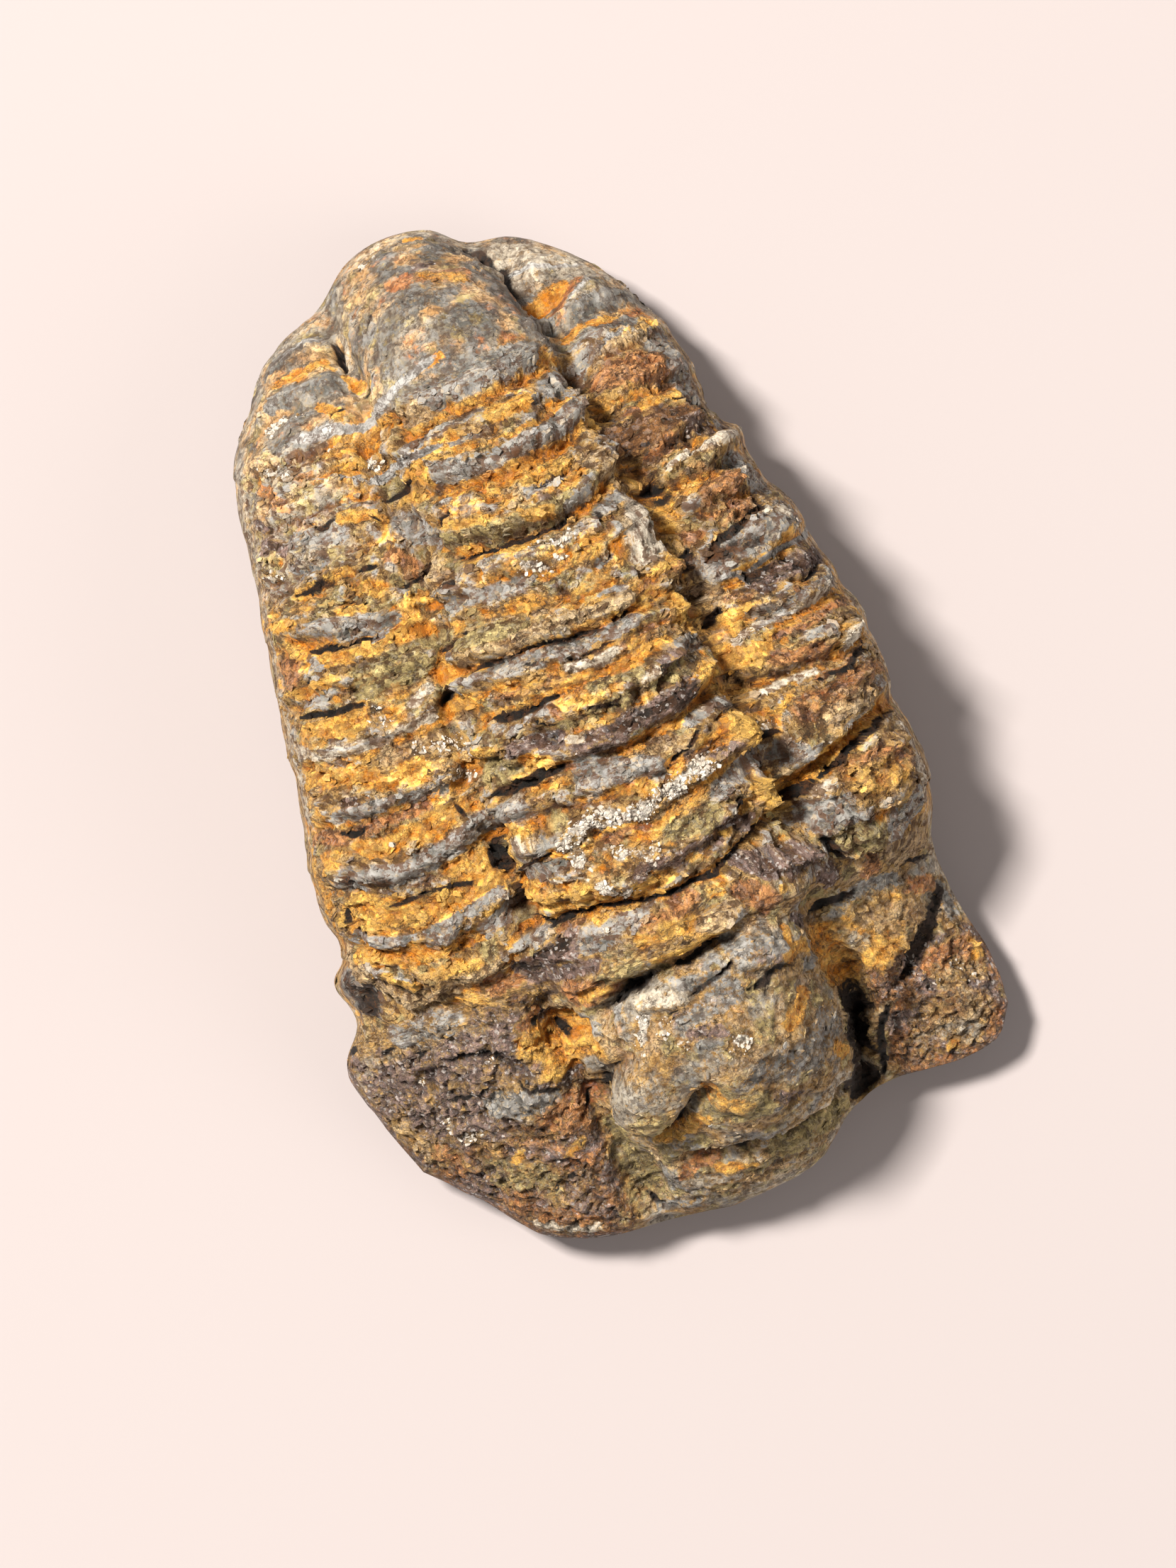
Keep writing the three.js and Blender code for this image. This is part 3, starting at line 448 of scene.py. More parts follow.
# Cracks and holes: depth, half width and line.
CRACKS = [
    # tail shield
    (1.2, 0.22, [(-4.4, 26), (-4.25, 24.3)]), (0.8, 0.2, [(-4, 22.25), (-3.3, 22.1)]),
    (0.4, 0.12, [(-3.7, 20.5)]), (0.3, 0.1, [(-2, 25), (-1, 25.9)]),
    (0.8, 0.16, [(5.2, 28.2), (6.4, 27), (7, 26.3), (7.3, 24.8), (7.3, 23.9)]),
    (0.5, 0.1, [(-6, 21.3), (-5, 21.7)]), (0.4, 0.14, [(-10.3, 18.7), (-10.1, 18.6)]),
    # thorax, axis
    (0.6, 0.14, [(-5, 16), (-4, 15.8), (-2.9, 16.4)]),
    (0.6, 0.14, [(-3.1, 12.1), (-2.7, 12.6), (-1.4, 13.5)]),
    (0.4, 0.1, [(3.4, 12.7), (5, 13), (5.9, 13.3)]),
    (0.5, 0.12, [(-6.2, 10.2), (-4.6, 10.8), (-3, 11.6)]), (0.5, 0.35, [(-3.1, 9.5), (-2.5, 9.6)]),
    (0.4, 0.12, [(-2.4, 10.9), (0, 10.75), (3, 10.6), (5.5, 10.9)]),
    (0.6, 0.22, [(6.2, 9.6), (6.25, 10.4)]), (0.5, 0.22, [(-5, 6.3), (-3.8, 6.5)]),
    (0.3, 0.09, [(-3.8, 6.5), (-2.4, 6.7)]), (0.6, 0.11, [(-4.2, 4.4), (0, 4.5), (2, 4.2), (4.5, 4)]),
    (0.7, 0.2, [(5.1, 4.3), (6.2, 4.5)]), (0.4, 0.08, [(-1, 3.6), (0.4, 3.5)]),
    (0.4, 0.09, [(1.5, 3.2), (2.3, 2.9), (4.5, 3)]), (0.5, 0.16, [(-4.2, 1.4), (-1, 1.1), (0.3, 1.3)]),
    (0.35, 0.09, [(-1.6, 0.6), (-1, 0), (0.1, 0)]), (0.35, 0.1, [(1.8, 0), (3, -0.2), (3.9, 0.1)]),
    (0.6, 0.2, [(6.3, 0.2), (6.4, 0.9)]), (0.5, 0.22, [(-5.4, -2.6), (-3, -2.7), (-0.9, -2.5)]),
    (0.45, 0.11, [(4.7, -5), (6, -4.2), (7.3, -3.2)]),
    (0.8, 0.26, [(-6.4, -5.3), (-6.45, -6.5), (-6.1, -7.2)]), (0.8, 0.25, [(-6, -4.6), (-5.5, -4.6)]),
    (0.4, 0.12, [(-5.4, -7.3), (-4, -7), (-3.2, -7.1)]), (0.5, 0.25, [(7.3, -8.3), (7.8, -8)]),
    (0.6, 0.2, [(-6, -8.1), (-6.3, -9.4)]),
    (0.5, 0.12, [(-6.3, -10.2), (-5, -11), (-2, -11.1), (0, -11.6), (3, -11.9), (5.3, -11.7), (7, -10.9),
        (9.3, -9.8)]),
    # left ribs
    (0.6, 0.14, [(-9.3, 15.8), (-8.8, 15.5), (-7.8, 15.8)]), (0.4, 0.12, [(-6, 15.4), (-5.4, 14.6)]),
    (0.5, 0.14, [(-11.6, 12.4), (-10.4, 12.3), (-9.9, 12.9)]), (0.5, 0.2, [(-7.9, 12.4), (-6.6, 12.3)]),
    (0.3, 0.1, [(-9.7, 10.6), (-8.5, 10.9)]), (0.5, 0.12, [(-12.5, 9.1), (-10, 8.7), (-8, 8.4)]),
    (0.5, 0.1, [(-13, 7.1), (-12.3, 7.3)]), (0.6, 0.16, [(-14, 5.6), (-12, 5.25), (-10.2, 5.1)]),
    (0.4, 0.14, [(-10, 4.7), (-9.5, 4.4)]), (0.7, 0.3, [(-5.9, 3.4), (-5.2, 3.9)]),
    (0.35, 0.1, [(-10.5, 3.2), (-10.2, 3)]), (0.4, 0.14, [(-14.6, -1.4), (-13.8, -1.8), (-12.5, -1.7)]),
    (0.4, 0.16, [(-7.3, -2.2), (-7, -3.2)]), (0.7, 0.25, [(-14.8, -3.8), (-14.5, -4.3)]),
    (0.6, 0.22, [(-15.5, -5.7), (-15.4, -6.5)]),
    (0.35, 0.1, [(-13.4, -6.5), (-11.5, -6.6), (-10, -6.6), (-8, -6.9)]),
    (0.4, 0.12, [(-16.3, -11.1), (-14.6, -12.8)]), (0.3, 0.1, [(-10.8, -10.2), (-10, -10.3)]),
    # right ribs
    (0.7, 0.25, [(7.4, 23.9), (8.1, 22.7)]), (0.6, 0.16, [(13.1, 15), (14.7, 13.9)]),
    (0.8, 0.3, [(10.2, 11), (10.6, 10.4)]),
    (0.9, 0.18, [(11.2, 5.5), (12.5, 6.2), (14, 6.7), (15.2, 7.2), (15.5, 8)]),
    (0.8, 0.3, [(10.2, 5.6), (10.6, 6.6)]), (0.8, 0.3, [(10.5, 2), (11.1, 2.4)]),
    (0.5, 0.2, [(13.1, 3.2), (13.2, 4)]), (0.5, 0.15, [(16, 2.2), (17.3, 2.9)]),
    (0.5, 0.14, [(14.8, -3.4), (16.4, -3.3), (17.9, -2.6), (18.4, -1.9)]),
    (0.6, 0.2, [(10.2, -5.2), (11.8, -5.4)]), (0.6, 0.2, [(10.3, -9.5), (12.6, -8.9)]),
    (0.5, 0.13, [(12.6, -8.9), (15.3, -7.9), (18.2, -6.6)]), (0.9, 0.3, [(11.4, -11.6), (12.3, -13.5)]),
    (0.4, 0.15, [(14.1, -14.3), (14.6, -14.1), (15.3, -13.8)]),
    (0.6, 0.18, [(9.8, -16.3), (11, -15.9), (12.6, -15.6)]),
    (0.3, 0.08, [(15.3, -15.8), (16, -15.3), (17.6, -15.4)]),
    # head
    (1.1, 0.2, [(-3.9, -17), (-2.4, -16.2), (-1, -16.1)]),
    (0.7, 0.13, [(0.6, -16.1), (2, -16), (4.2, -15.4)]),
    (0.6, 0.1, [(1.1, -17.7), (2.6, -17.3), (3.5, -17)]), (0.6, 0.18, [(3.5, -17), (4, -16.8)]),
    (0.5, 0.14, [(4.4, -18.6), (5.3, -18.4), (6, -18), (7, -18.1)]),
    (0.4, 0.1, [(-0.7, -18.4), (0.2, -18.2)]), (0.6, 0.12, [(-5.2, -20.1), (-4, -19.9)]),
    (0.5, 0.1, [(-5.65, -22.2), (-5.5, -21), (-4.8, -20.4)]),
    (0.9, 0.28, [(-4.2, -24.2), (-3.1, -24.5), (-2.1, -24.1), (-1.4, -23.3)]),
    (0.3, 0.1, [(-1.4, -23.3), (0, -23.1)]), (0.8, 0.28, [(-5.7, -17.3), (-5.4, -17.1)]),
    (0.7, 0.25, [(-6.7, -17.2), (-6.4, -18.1)]), (0.5, 0.2, [(-7.9, -16.2)]),
    (0.9, 0.14, [(-2.2, -26.9), (-0.5, -27.2), (1, -27.5), (3, -27.3), (5, -27.2), (6.5, -26.5),
        (7.3, -25.9)]),
    (0.5, 0.18, [(-5.6, -28.6), (-5, -29.4)]), (0.3, 0.09, [(-9.9, -18.7), (-8.8, -19.6), (-7.9, -20.5)]),
    (0.35, 0.11, [(-15.6, -15.5), (-14.2, -15.3)]),
    (0.4, 0.13, [(-13.6, -16.3), (-12, -16.4), (-10.5, -16.9), (-10, -16.8)]),
    (0.3, 0.1, [(-14.5, -18.4), (-13, -18.7), (-11.4, -18.5)]),
    (0.35, 0.12, [(-12.8, -19.9), (-12, -19.5)]),
    (0.3, 0.1, [(-10.8, -25.6), (-9.6, -25.3), (-8.4, -25.5)]), (0.4, 0.25, [(-18.7, -13.6)]),
    (0.4, 0.22, [(-16.9, -14.6), (-16.3, -14.4)]), (0.4, 0.25, [(-7.2, -22.5), (-6.4, -22)]),
    (0.4, 0.2, [(-9.7, -18.9), (-9.4, -18.7)]),
    (0.5, 0.2, [(12, -22.7), (10.9, -24), (10.4, -25.5), (10, -26.8)]),
]


def from_ends(line, px, py):
    """How far each point is from the nearer end of a line."""
    return np.minimum(*(np.hypot(px - line[n][0], py - line[n][1]) for n in (0, -1)))


crack = np.zeros(len(smooth))
gape = np.clip(0.75 + 1.6 * rough(smooth / 0.9 + 90, 2, 73), 0.1, 1.3)
for depth, half_width, line in CRACKS:
    found, near, _ = from_line(line, wx, wy, 3 * half_width)
    taper = 0.45 + 0.75 * eased(from_ends(line, wx[found], wy[found]) / 1.2) if len(line) > 1 else 1
    near = near / (half_width * taper * (1 + 0.35 * wander[found, 0]))
    crack[found] = np.maximum(crack[found], depth * gape[found] * np.exp(-near**2))

# Plates: height, radius and line of a raised flake or block with a crisp edge.
PLATES = [
    (0.45, 0.9, [(-5.4, 11.9), (-4.4, 12.6), (-4.2, 11.7)]), (0.5, 0.55, [(-3.9, 10.4), (-3.1, 11)]),
    (0.6, 0.8, [(8.9, -3.9), (9.4, -4.7)]), (0.6, 0.45, [(8.9, -7.8), (9.5, -9)]),
    (0.3, 0.3, [(1.6, 2.6), (3, 2.35), (4.5, 2.5)]), (0.4, 0.8, [(-4.5, -5.2), (-4.2, -5.9)]),
    (0.5, 0.45, [(14.9, -0.8), (15.9, -0.8)]), (0.4, 0.6, [(17, -1.6), (17.9, -1.3)]),
    (0.4, 0.5, [(12.2, -9.4), (13.5, -9.3)]), (0.5, 0.28, [(11.7, 1.2)]),
    (0.4, 0.5, [(12.9, 9), (14.2, 9.2)]), (0.35, 0.8, [(3.9, -14.2), (5, -13.6)]),
    (0.4, 0.7, [(-6.8, -11.6), (-5.7, -11.4)]), (0.3, 0.45, [(6.6, 22), (7.7, 22.2)]),
    (0.35, 0.9, [(-1.3, -16.9), (0.4, -17.2)]), (0.4, 1, [(5, -16.6), (6.2, -17.2)]),
    (0.3, 0.5, [(-11.7, -9.2), (-10.4, -9.2)]),
    (0.35, 0.3, [(11.4, 11.1), (13, 11), (14.3, 11.5), (15.9, 12.1)]),
    (0.3, 0.5, [(-4.3, -1.2), (-3.6, -1.5)]), (0.3, 0.35, [(-4.8, -0.1), (-4, -0.2)]),
    (0.4, 0.5, [(5.4, 0.3), (6, 0.6)]), (0.4, 0.45, [(6.9, 1), (7.7, 1.2)]),
]
for height, radius, line in PLATES:
    found, near, _ = from_line(line, wx, wy, 2 * radius)
    form[found] += height * eased((1 - near / radius) / 0.35 + 0.3)


def ledges(spacing, seed):
    """Broken layer edges along the ribs: each rises steeply towards the head and falls off to the tail."""
    layer = rib_y / spacing + 1.4 * rough(grain * (1.8, 0.8, 0.7) + 3, 3, seed)
    step = layer - np.floor(layer)
    strength = np.clip(0.45 + 1.6 * rough(grain * (2.8, 1, 1.1) + 8, 2, seed + 5), 0, 1)
    return strength * eased(step / 0.22) * (1 - step)


flakes = chips(grain * (4.4, 1.4, 2), 31)
small_flakes = chips(grain * (10, 3, 4) + 0.3 * wander[:, :1], 33)
crumbs = billows(smooth / 0.8, 3, 41) - 0.5
facets = chips(smooth / 1.1, 51)
small_facets = chips(smooth / 0.45, 53)
lumps = rough(smooth / 3.2, 3, 61)
steep = eased((0.7 - outward[:, 2]) / 0.5)  # steep flanks are smoother
plain = np.clip(1 - 0.6 * dome - 0.4 * glabella - 0.5 * steep, 0.25, 1)
in_patches = 0.4 + 0.6 * eased(0.5 + 1.8 * rough(smooth / 2.6 + 30, 2, 65))
shattered = np.clip(ribbed + 0.6 * glabella, 0, 1) * plain * in_patches
flaking = 0.3 * flakes + 0.16 * small_flakes
detail = ribbed * plain * (0.5 * ledges(1.05, 21) + 0.25 * ledges(0.55, 23) - 0.2)
detail += shattered * flaking
detail += dome * (0.14 * ledges(0.9, 25) + 0.08 * small_facets + 0.14 * lumps)
detail += glabella * (0.08 * facets + 0.1 * small_facets + 0.2 * lumps)
detail += cheek * (0.18 * facets + 0.2 * small_facets + 0.3 * lumps)
detail += (0.06 + 0.12 * shattered + 0.06 * cheek) * crumbs + 0.14 * lumps * ribbed
pits = np.maximum(0, rough(grain * (3.2, 1.2, 1.2) + 40, 3, 81) - 0.3) * 1.7
detail -= (0.2 + 0.6 * ribbed + 0.3 * cheek) * np.minimum(pits, 0.4)

RIM_FADE = 0.9  # mm over which the break dies out at the rim
fade = 0.15 + 0.85 * eased(inside / 2)
rim = eased(inside / RIM_FADE)
waves = np.sin(0.55 * x + 0.31 * y + 1.1) * np.sin(0.47 * y - 0.2 * x + 0.6)
waves += 0.5 * np.sin(1.3 * x) * np.sin(1.1 * y + 2)
belly_break = BELLY_LUMP * waves + 0.35 * facets + 0.2 * small_facets + 0.2 * crumbs
belly_break = np.where(np.hypot(x, y) < WORN_SPOT, BELLY_LUMP, belly_break)
belly_break = belly_break * eased(inside / 3) - 0.1
back_break = rim * (fade * form + detail - crack) + (1 - rim) * (0.2 * form + 0.25 * lumps)
out = np.where(is_back, back_break - 0.15 * (1 - fade), belly_break)
stone = smooth + outward * out[:, None]
stone[:, 2] = np.maximum(stone[:, 2], 0)
middle = (stone.min(0) + stone.max(0)) / 2
cad_low, cad_high = (np.array(corner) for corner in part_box("trilobite_fossil"))
shift = ((cad_low + cad_high) / 2 / MM - middle)[:2]
stone[:, :2] += shift

# ==================================================================== The stone: its stains
# Iron has stained the limestone: yellow limonite powder in the grooves, rust, dark purple hematite on the
# rough breaks, blue-grey bare shell on the crests, and white calcite in veins and crystal beds.
# Each stain is a weight from 0 to 1 on the vertices, from noise first and then from strokes. Painted shade,
# near-black in clefts, in cracks and under ledges, is a weight of the same kind.
SMOOTHINGS = 10
grid = out[is_back].reshape(ROWS + 1, COLUMNS + 1)
low = grid.copy()
for _ in range(SMOOTHINGS):
    low[1:-1, 1:-1] = (low[:-2, 1:-1] + low[2:, 1:-1] + low[1:-1, :-2] + low[1:-1, 2:]) / 4
hollow = np.zeros(len(smooth))  # how far a point lies below those round it
hollow[is_back] = (low - grid).ravel()

patches = rough(grain * (0.8, 0.5, 0.8) + 9, 3, 91)
patches2 = rough(smooth / 2.2 + 5, 3, 95)
patches3 = rough(smooth / 1.4 + 5, 3, 97)
COLOURS = ("grey", "tan", "brown", "olive", "slate", "purple", "rust", "ochre", "pale", "calcite")
stains = {name: np.zeros(len(smooth)) for name in COLOURS + ("painted_shade",)}
shell = 1 - cheek
tail_ribs = eased((y - 11.5) / 3) * eased((-6 - x) / 2)  # the left ribs by the tail are greyer
grey = 0.1 + 0.95 * dome + 0.35 * glabella + 0.8 * tail_ribs + 0.9 * patches2
stains["grey"] = np.clip(grey, 0, 1) * shell
# In the hollows and below the ribs' steep sides the brown is partly the stain and partly painted shade.
stains["brown"] = np.clip(0.8 * cheek + (1.3 * hollow + 0.7 * groove + 0.5 * patches2) * ribbed, 0, 0.9)
ochre = (0.3 + 0.6 * hollow + 0.4 * groove + 1.2 * patches - 0.45 * tail_ribs) * ribbed
stains["ochre"] = np.maximum(np.clip(ochre, 0, 0.85), dome * np.clip(1.5 * patches2 - 0.4, 0, 0.55))
stains["slate"] = np.clip(0.15 + 0.15 * dome - 1.5 * hollow + 0.9 * patches2, 0, 0.65) * shell
stains["purple"] = cheek * np.clip(0.45 + 1.3 * patches2 + 0.35 * eased((y + 23) / 5), 0, 0.95)
stains["rust"] = np.clip(0.12 + 0.12 * cheek + (0.4 + 0.6 * cheek) * patches3, 0, 0.65) * (1 + 0.4 * dome)
stains["olive"] = np.clip(0.32 - 1.1 * patches3, 0, 0.75) * (1 - 0.5 * cheek) * (1 - 0.2 * dome)
stains["tan"] = np.clip(0.3 + 0.1 * dome + 0.9 * patches - 0.6 * patches2, 0, 0.85) * shell
stains["pale"] = 0.45 * eased(1 - inside / 2.2) * shell * eased(0.8 + patches)

# Strokes: stain, half width, line and strength. A later stroke lies over an earlier one. Strokes of painted
# shade darken the clefts and the ground under ledges.
STROKES = [
    # tail shield
    ("pale", 1.2, [(6.8, 27), (9, 26), (11, 24.8)], 0.6),
    ("slate", 0.4, [(-9.3, 25.4), (-7, 26), (-5, 26)], 0.7),
    ("slate", 0.35, [(-9, 22.9), (-7.5, 23.5), (-5.8, 23.1)], 0.8),
    ("slate", 0.4, [(-9.5, 20.7), (-7.5, 20.5), (-6, 20.8)], 0.6),
    ("ochre", 0.45, [(-8.2, 24.4), (-5.2, 24.6)], 0.75), ("ochre", 0.3, [(-4.4, 23.6), (-4, 22.8)], 0.7),
    ("ochre", 0.4, [(-6.3, 22.1), (-5.5, 21.4)], 0.85), ("ochre", 0.22, [(-3.2, 22.4)], 0.9),
    ("rust", 0.2, [(-3.6, 22)], 0.9), ("rust", 0.45, [(-11.4, 19), (-10.3, 17.4)], 0.6),
    ("rust", 0.35, [(-9.2, 18.8), (-8.4, 18.6)], 0.6),
    ("rust", 0.5, [(0.3, 26.8), (2, 26.4), (4, 25.7)], 0.55),
    ("ochre", 0.35, [(1.8, 26.5), (3.8, 25.6)], 0.5), ("purple", 0.3, [(1.7, 27.3), (2.4, 27.2)], 0.7),
    ("slate", 0.35, [(0, 27.6), (0.8, 27.5)], 0.8), ("slate", 0.4, [(3, 28.3), (4.2, 28.2)], 0.7),
    ("slate", 0.5, [(0.8, 25), (3, 24.7)], 0.6), ("ochre", 0.25, [(1.7, 29.7), (2.6, 29.6)], 0.7),
    ("rust", 0.4, [(4.9, 21.5), (5.8, 21.1)], 0.6), ("ochre", 0.25, [(0.6, 21.7), (1.5, 21.9)], 0.7),
    ("calcite", 0.24, [(-9.7, 21.8), (-8.5, 22.2)], 0.8), ("calcite", 0.14, [(-7.7, 22.2)], 1),
    ("calcite", 0.35, [(-10.8, 19.9), (-9.8, 19.5)], 0.7), ("calcite", 0.25, [(-6.5, 19.7)], 0.6),
    ("calcite", 0.35, [(-4.7, 18.6), (-4.5, 18)], 0.9),
    ("calcite", 0.2, [(-1.2, 29.1), (-0.9, 29.2)], 0.9), ("calcite", 0.22, [(-0.3, 29.4)], 0.9),
    ("pale", 0.25, [(-4, 24.5), (-3.5, 26.5), (-2.8, 28.6)], 0.6),
    ("purple", 0.5, [(-12.4, 15.9), (-11.3, 15.2)], 0.8),
    ("purple", 0.3, [(-12.3, 17.3), (-11.8, 16.6)], 0.6), ("slate", 0.5, [(6.5, 22.1), (8, 22.2)], 0.9),
    ("painted_shade", 0.3, [(6.6, 22), (8, 22)], 0.35), ("ochre", 0.45, [(8, 23.9), (9.3, 23.8)], 1),
    ("rust", 0.28, [(7.5, 23.8), (8.3, 22.7), (9.2, 23.1)], 0.9),
    ("rust", 0.25, [(9.6, 23.4), (10.2, 23.5)], 0.8),
    ("slate", 0.5, [(9.6, 21.9), (11, 21.9), (13, 22)], 0.8),
    ("ochre", 0.25, [(8.8, 21.1), (9.6, 21.1)], 0.9),
    ("ochre", 0.22, [(10, 20.95), (11.5, 20.7), (12.4, 20.5)], 0.9),
    ("rust", 0.3, [(12, 20.5), (13.4, 20.9)], 0.6), ("slate", 0.3, [(9, 20.3), (12.4, 20.3)], 0.9),
    # thorax, axis
    ("slate", 0.7, [(-0.2, 20.1), (2, 20.1), (5, 20.4), (6, 20.4)], 0.95),
    ("tan", 0.5, [(-2, 19.6), (-0.7, 19.6)], 0.8), ("ochre", 0.3, [(-4.4, 19.7), (-2.7, 20.1)], 0.8),
    ("ochre", 0.28, [(-2.4, 18.6), (0, 18.8), (2, 18.8), (5, 19.1), (7, 19.6)], 1),
    ("brown", 0.16, [(-1, 18.7), (2, 18.7), (6, 19.3)], 0.55),
    ("slate", 0.25, [(-2.4, 18.1), (0, 18.3), (2.2, 18.3)], 0.85),
    ("slate", 0.18, [(0, 17.1), (2.3, 17.2)], 1), ("painted_shade", 0.12, [(0, 17), (2.2, 17.1)], 0.5),
    ("ochre", 0.42, [(2.7, 17.9), (4.8, 17.9)], 1), ("ochre", 0.2, [(-0.6, 17.3), (0.3, 17.7)], 0.9),
    ("ochre", 0.38, [(5.6, 16.8), (6.9, 17.2)], 1),
    ("ochre", 0.13, [(-2, 16.9), (-0.3, 16.5), (3, 16.3), (5.2, 16.5)], 0.95),
    ("slate", 0.35, [(5.2, 17.8), (7.4, 17.8)], 0.8),
    ("slate", 0.7, [(6.4, 18.3), (8, 19), (9.3, 19.4)], 0.85),
    ("slate", 0.6, [(-1.6, 15.8), (1.5, 15.5), (5, 15.5), (7.2, 16.4)], 1),
    ("painted_shade", 0.3, [(3, 15.3), (4.8, 15.4)], 0.35),
    ("ochre", 0.4, [(-2.9, 16.4), (-2, 16.3), (-2.2, 15.7)], 1),
    ("ochre", 0.35, [(-4, 15.3), (-2.6, 15.2)], 0.7),
    ("ochre", 0.35, [(-1.6, 14.8), (2, 14.6), (6.6, 14.9)], 1),
    ("painted_shade", 0.14, [(-1, 14.8), (2, 14.7), (5, 14.9)], 0.4),
    ("ochre", 0.6, [(0.9, 13.9), (3, 13.6), (5.4, 13.4)], 1),
    ("slate", 0.3, [(-0.5, 13.3), (1, 12.8)], 0.6), ("slate", 0.3, [(3, 12.7), (5.8, 12.9)], 0.7),
    ("ochre", 0.28, [(5, 12.3), (6.2, 12.8)], 0.95),
    ("ochre", 0.3, [(-2, 13), (-1, 12.4), (0.6, 12.1)], 0.95),
    ("olive", 0.6, [(-2, 11.7), (1, 11.3), (5, 11.3)], 0.8),
    ("ochre", 0.3, [(-2, 11.3), (-1, 11.2)], 0.7), ("ochre", 0.3, [(2.5, 11.5), (4, 11.4)], 0.6),
    ("slate", 0.35, [(5, 11.2), (6.4, 11.6)], 0.7),
    ("ochre", 0.2, [(-1.6, 10.3), (0, 10.35), (2.1, 10.1)], 1),
    ("slate", 0.7, [(-4.3, 14.3), (-3.4, 12.6)], 0.85), ("rust", 0.7, [(-5.6, 12.3), (-4.7, 11.4)], 0.55),
    ("tan", 0.5, [(-3.9, 10.4), (-3.1, 11)], 0.9), ("slate", 0.5, [(6.6, 10.4), (8.6, 11)], 0.9),
    ("tan", 0.7, [(7, 13), (8.3, 12)], 0.6), ("calcite", 0.28, [(1.3, 9), (2.3, 8.6), (3.8, 8.6)], 0.6),
    ("calcite", 0.25, [(2.3, 9.7), (4.5, 9.6)], 0.45), ("ochre", 0.35, [(2, 8.1), (5.5, 8.4)], 0.6),
    ("slate", 0.55, [(-3.2, 8.5), (0.8, 8)], 0.85), ("slate", 0.25, [(5.4, 7.6), (6.3, 7.7)], 0.8),
    ("pale", 1.2, [(8.6, 9.9), (8.3, 7.7)], 0.75), ("ochre", 0.45, [(0, 7), (1.2, 6.9)], 0.7),
    ("olive", 0.6, [(-3.6, 6), (0, 5.9)], 0.8), ("ochre", 0.3, [(2, 6.5), (5, 6.6)], 0.5),
    ("ochre", 0.3, [(3, 5.6), (5, 5.3), (7, 5.7), (9.5, 6.1)], 0.85),
    ("slate", 0.2, [(4.8, 5.8), (6, 5.7)], 0.9), ("tan", 0.4, [(-3.5, 5.2), (6, 5.1)], 0.7),
    ("rust", 0.4, [(6.5, 5.6), (9.5, 5.5)], 0.5),
    ("slate", 0.5, [(-2.4, 4.1), (1, 3.75), (4, 3.5), (6, 3.8)], 1),
    ("painted_shade", 0.4, [(-2, 3.9), (5, 3.6)], 0.2), ("slate", 0.4, [(1.6, 2.7), (3, 2.4), (4.6, 2.5)], 0.6),
    ("pale", 0.32, [(1.6, 2.6), (3, 2.35), (4.6, 2.5)], 0.85), ("rust", 0.5, [(-3, 2.7), (1, 2.2)], 0.5),
    ("ochre", 0.3, [(-2.6, 3.1), (0, 2.5)], 0.6), ("rust", 0.6, [(5, 2.6), (8, 3)], 0.45),
    ("ochre", 0.25, [(0, 1.6), (2, 1.5), (5, 1.8), (7.5, 2.1)], 0.95),
    ("painted_shade", 0.3, [(-4.2, 1.4), (0, 1.2)], 0.4), ("ochre", 0.3, [(-4.2, 1.7), (-1, 1.4)], 0.7),
    ("calcite", 0.13, [(-3.2, 2.8)], 1), ("ochre", 0.6, [(8.6, 4), (9.6, 2)], 0.7),
    ("rust", 0.2, [(-0.2, 0.8), (0, 0.2)], 1), ("olive", 0.45, [(2.5, 1), (5, 0.8)], 0.7),
    ("pale", 0.45, [(5.5, 0.4), (6, 0.6)], 0.6), ("purple", 0.4, [(6.7, 1), (7.6, 1.2)], 0.9),
    ("painted_shade", 0.3, [(6.8, 0.9)], 0.4), ("slate", 0.5, [(7.9, 1.4), (10.8, 1.2)], 0.9),
    ("painted_shade", 0.35, [(9, 1.2), (10.8, 1)], 0.5), ("olive", 0.4, [(0, -0.4), (8, -0.1)], 0.6),
    ("purple", 0.55, [(-2.8, -0.6), (-0.5, -1.1)], 0.9),
    ("purple", 0.7, [(0.6, -2), (3, -1.9), (5.5, -1.5), (8, -1)], 0.95),
    ("painted_shade", 0.5, [(1.5, -2.1), (5.5, -1.6), (7.6, -1.1)], 0.45),
    ("pale", 0.22, [(0, -1.2), (0.8, -1.5)], 0.8), ("ochre", 0.3, [(-4.8, -0.1), (-4, -0.2)], 1),
    ("olive", 0.55, [(-4.6, -1), (-3.5, -1.7)], 0.9), ("calcite", 0.15, [(-4.3, -1.3)], 0.8),
    ("ochre", 0.3, [(-5, -3.2), (-1, -3.4)], 0.45), ("rust", 0.2, [(-0.8, -2.7), (-0.1, -3)], 0.9),
    ("slate", 0.8, [(0.3, -3.1), (2, -3.9), (4, -4.6)], 0.85),
    ("ochre", 0.22, [(4.8, -3), (6.5, -2.6), (8, -2), (9.3, -1.2)], 1),
    ("ochre", 0.9, [(8.8, -0.8), (10, -1.4), (11.3, -2)], 0.75),
    ("slate", 0.4, [(7, -2.9), (9, -2.5), (11.5, -3)], 0.9),
    ("painted_shade", 0.3, [(8.5, -2.8), (11.5, -3.1)], 0.45), ("tan", 0.5, [(4.6, -3.4), (6, -4)], 0.7),
    ("purple", 0.5, [(6.2, -4.8), (8, -5.1)], 0.55), ("ochre", 0.85, [(8.9, -3.9), (9.4, -4.7)], 1),
    ("ochre", 0.5, [(8.9, -7.8), (9.5, -9.1)], 1),
    ("calcite", 0.5, [(-2.3, -7), (-1.4, -6.4), (0, -6.1), (1.5, -6.5), (3, -6.7), (4.5, -6.2),
        (6.4, -5.5)], 1),
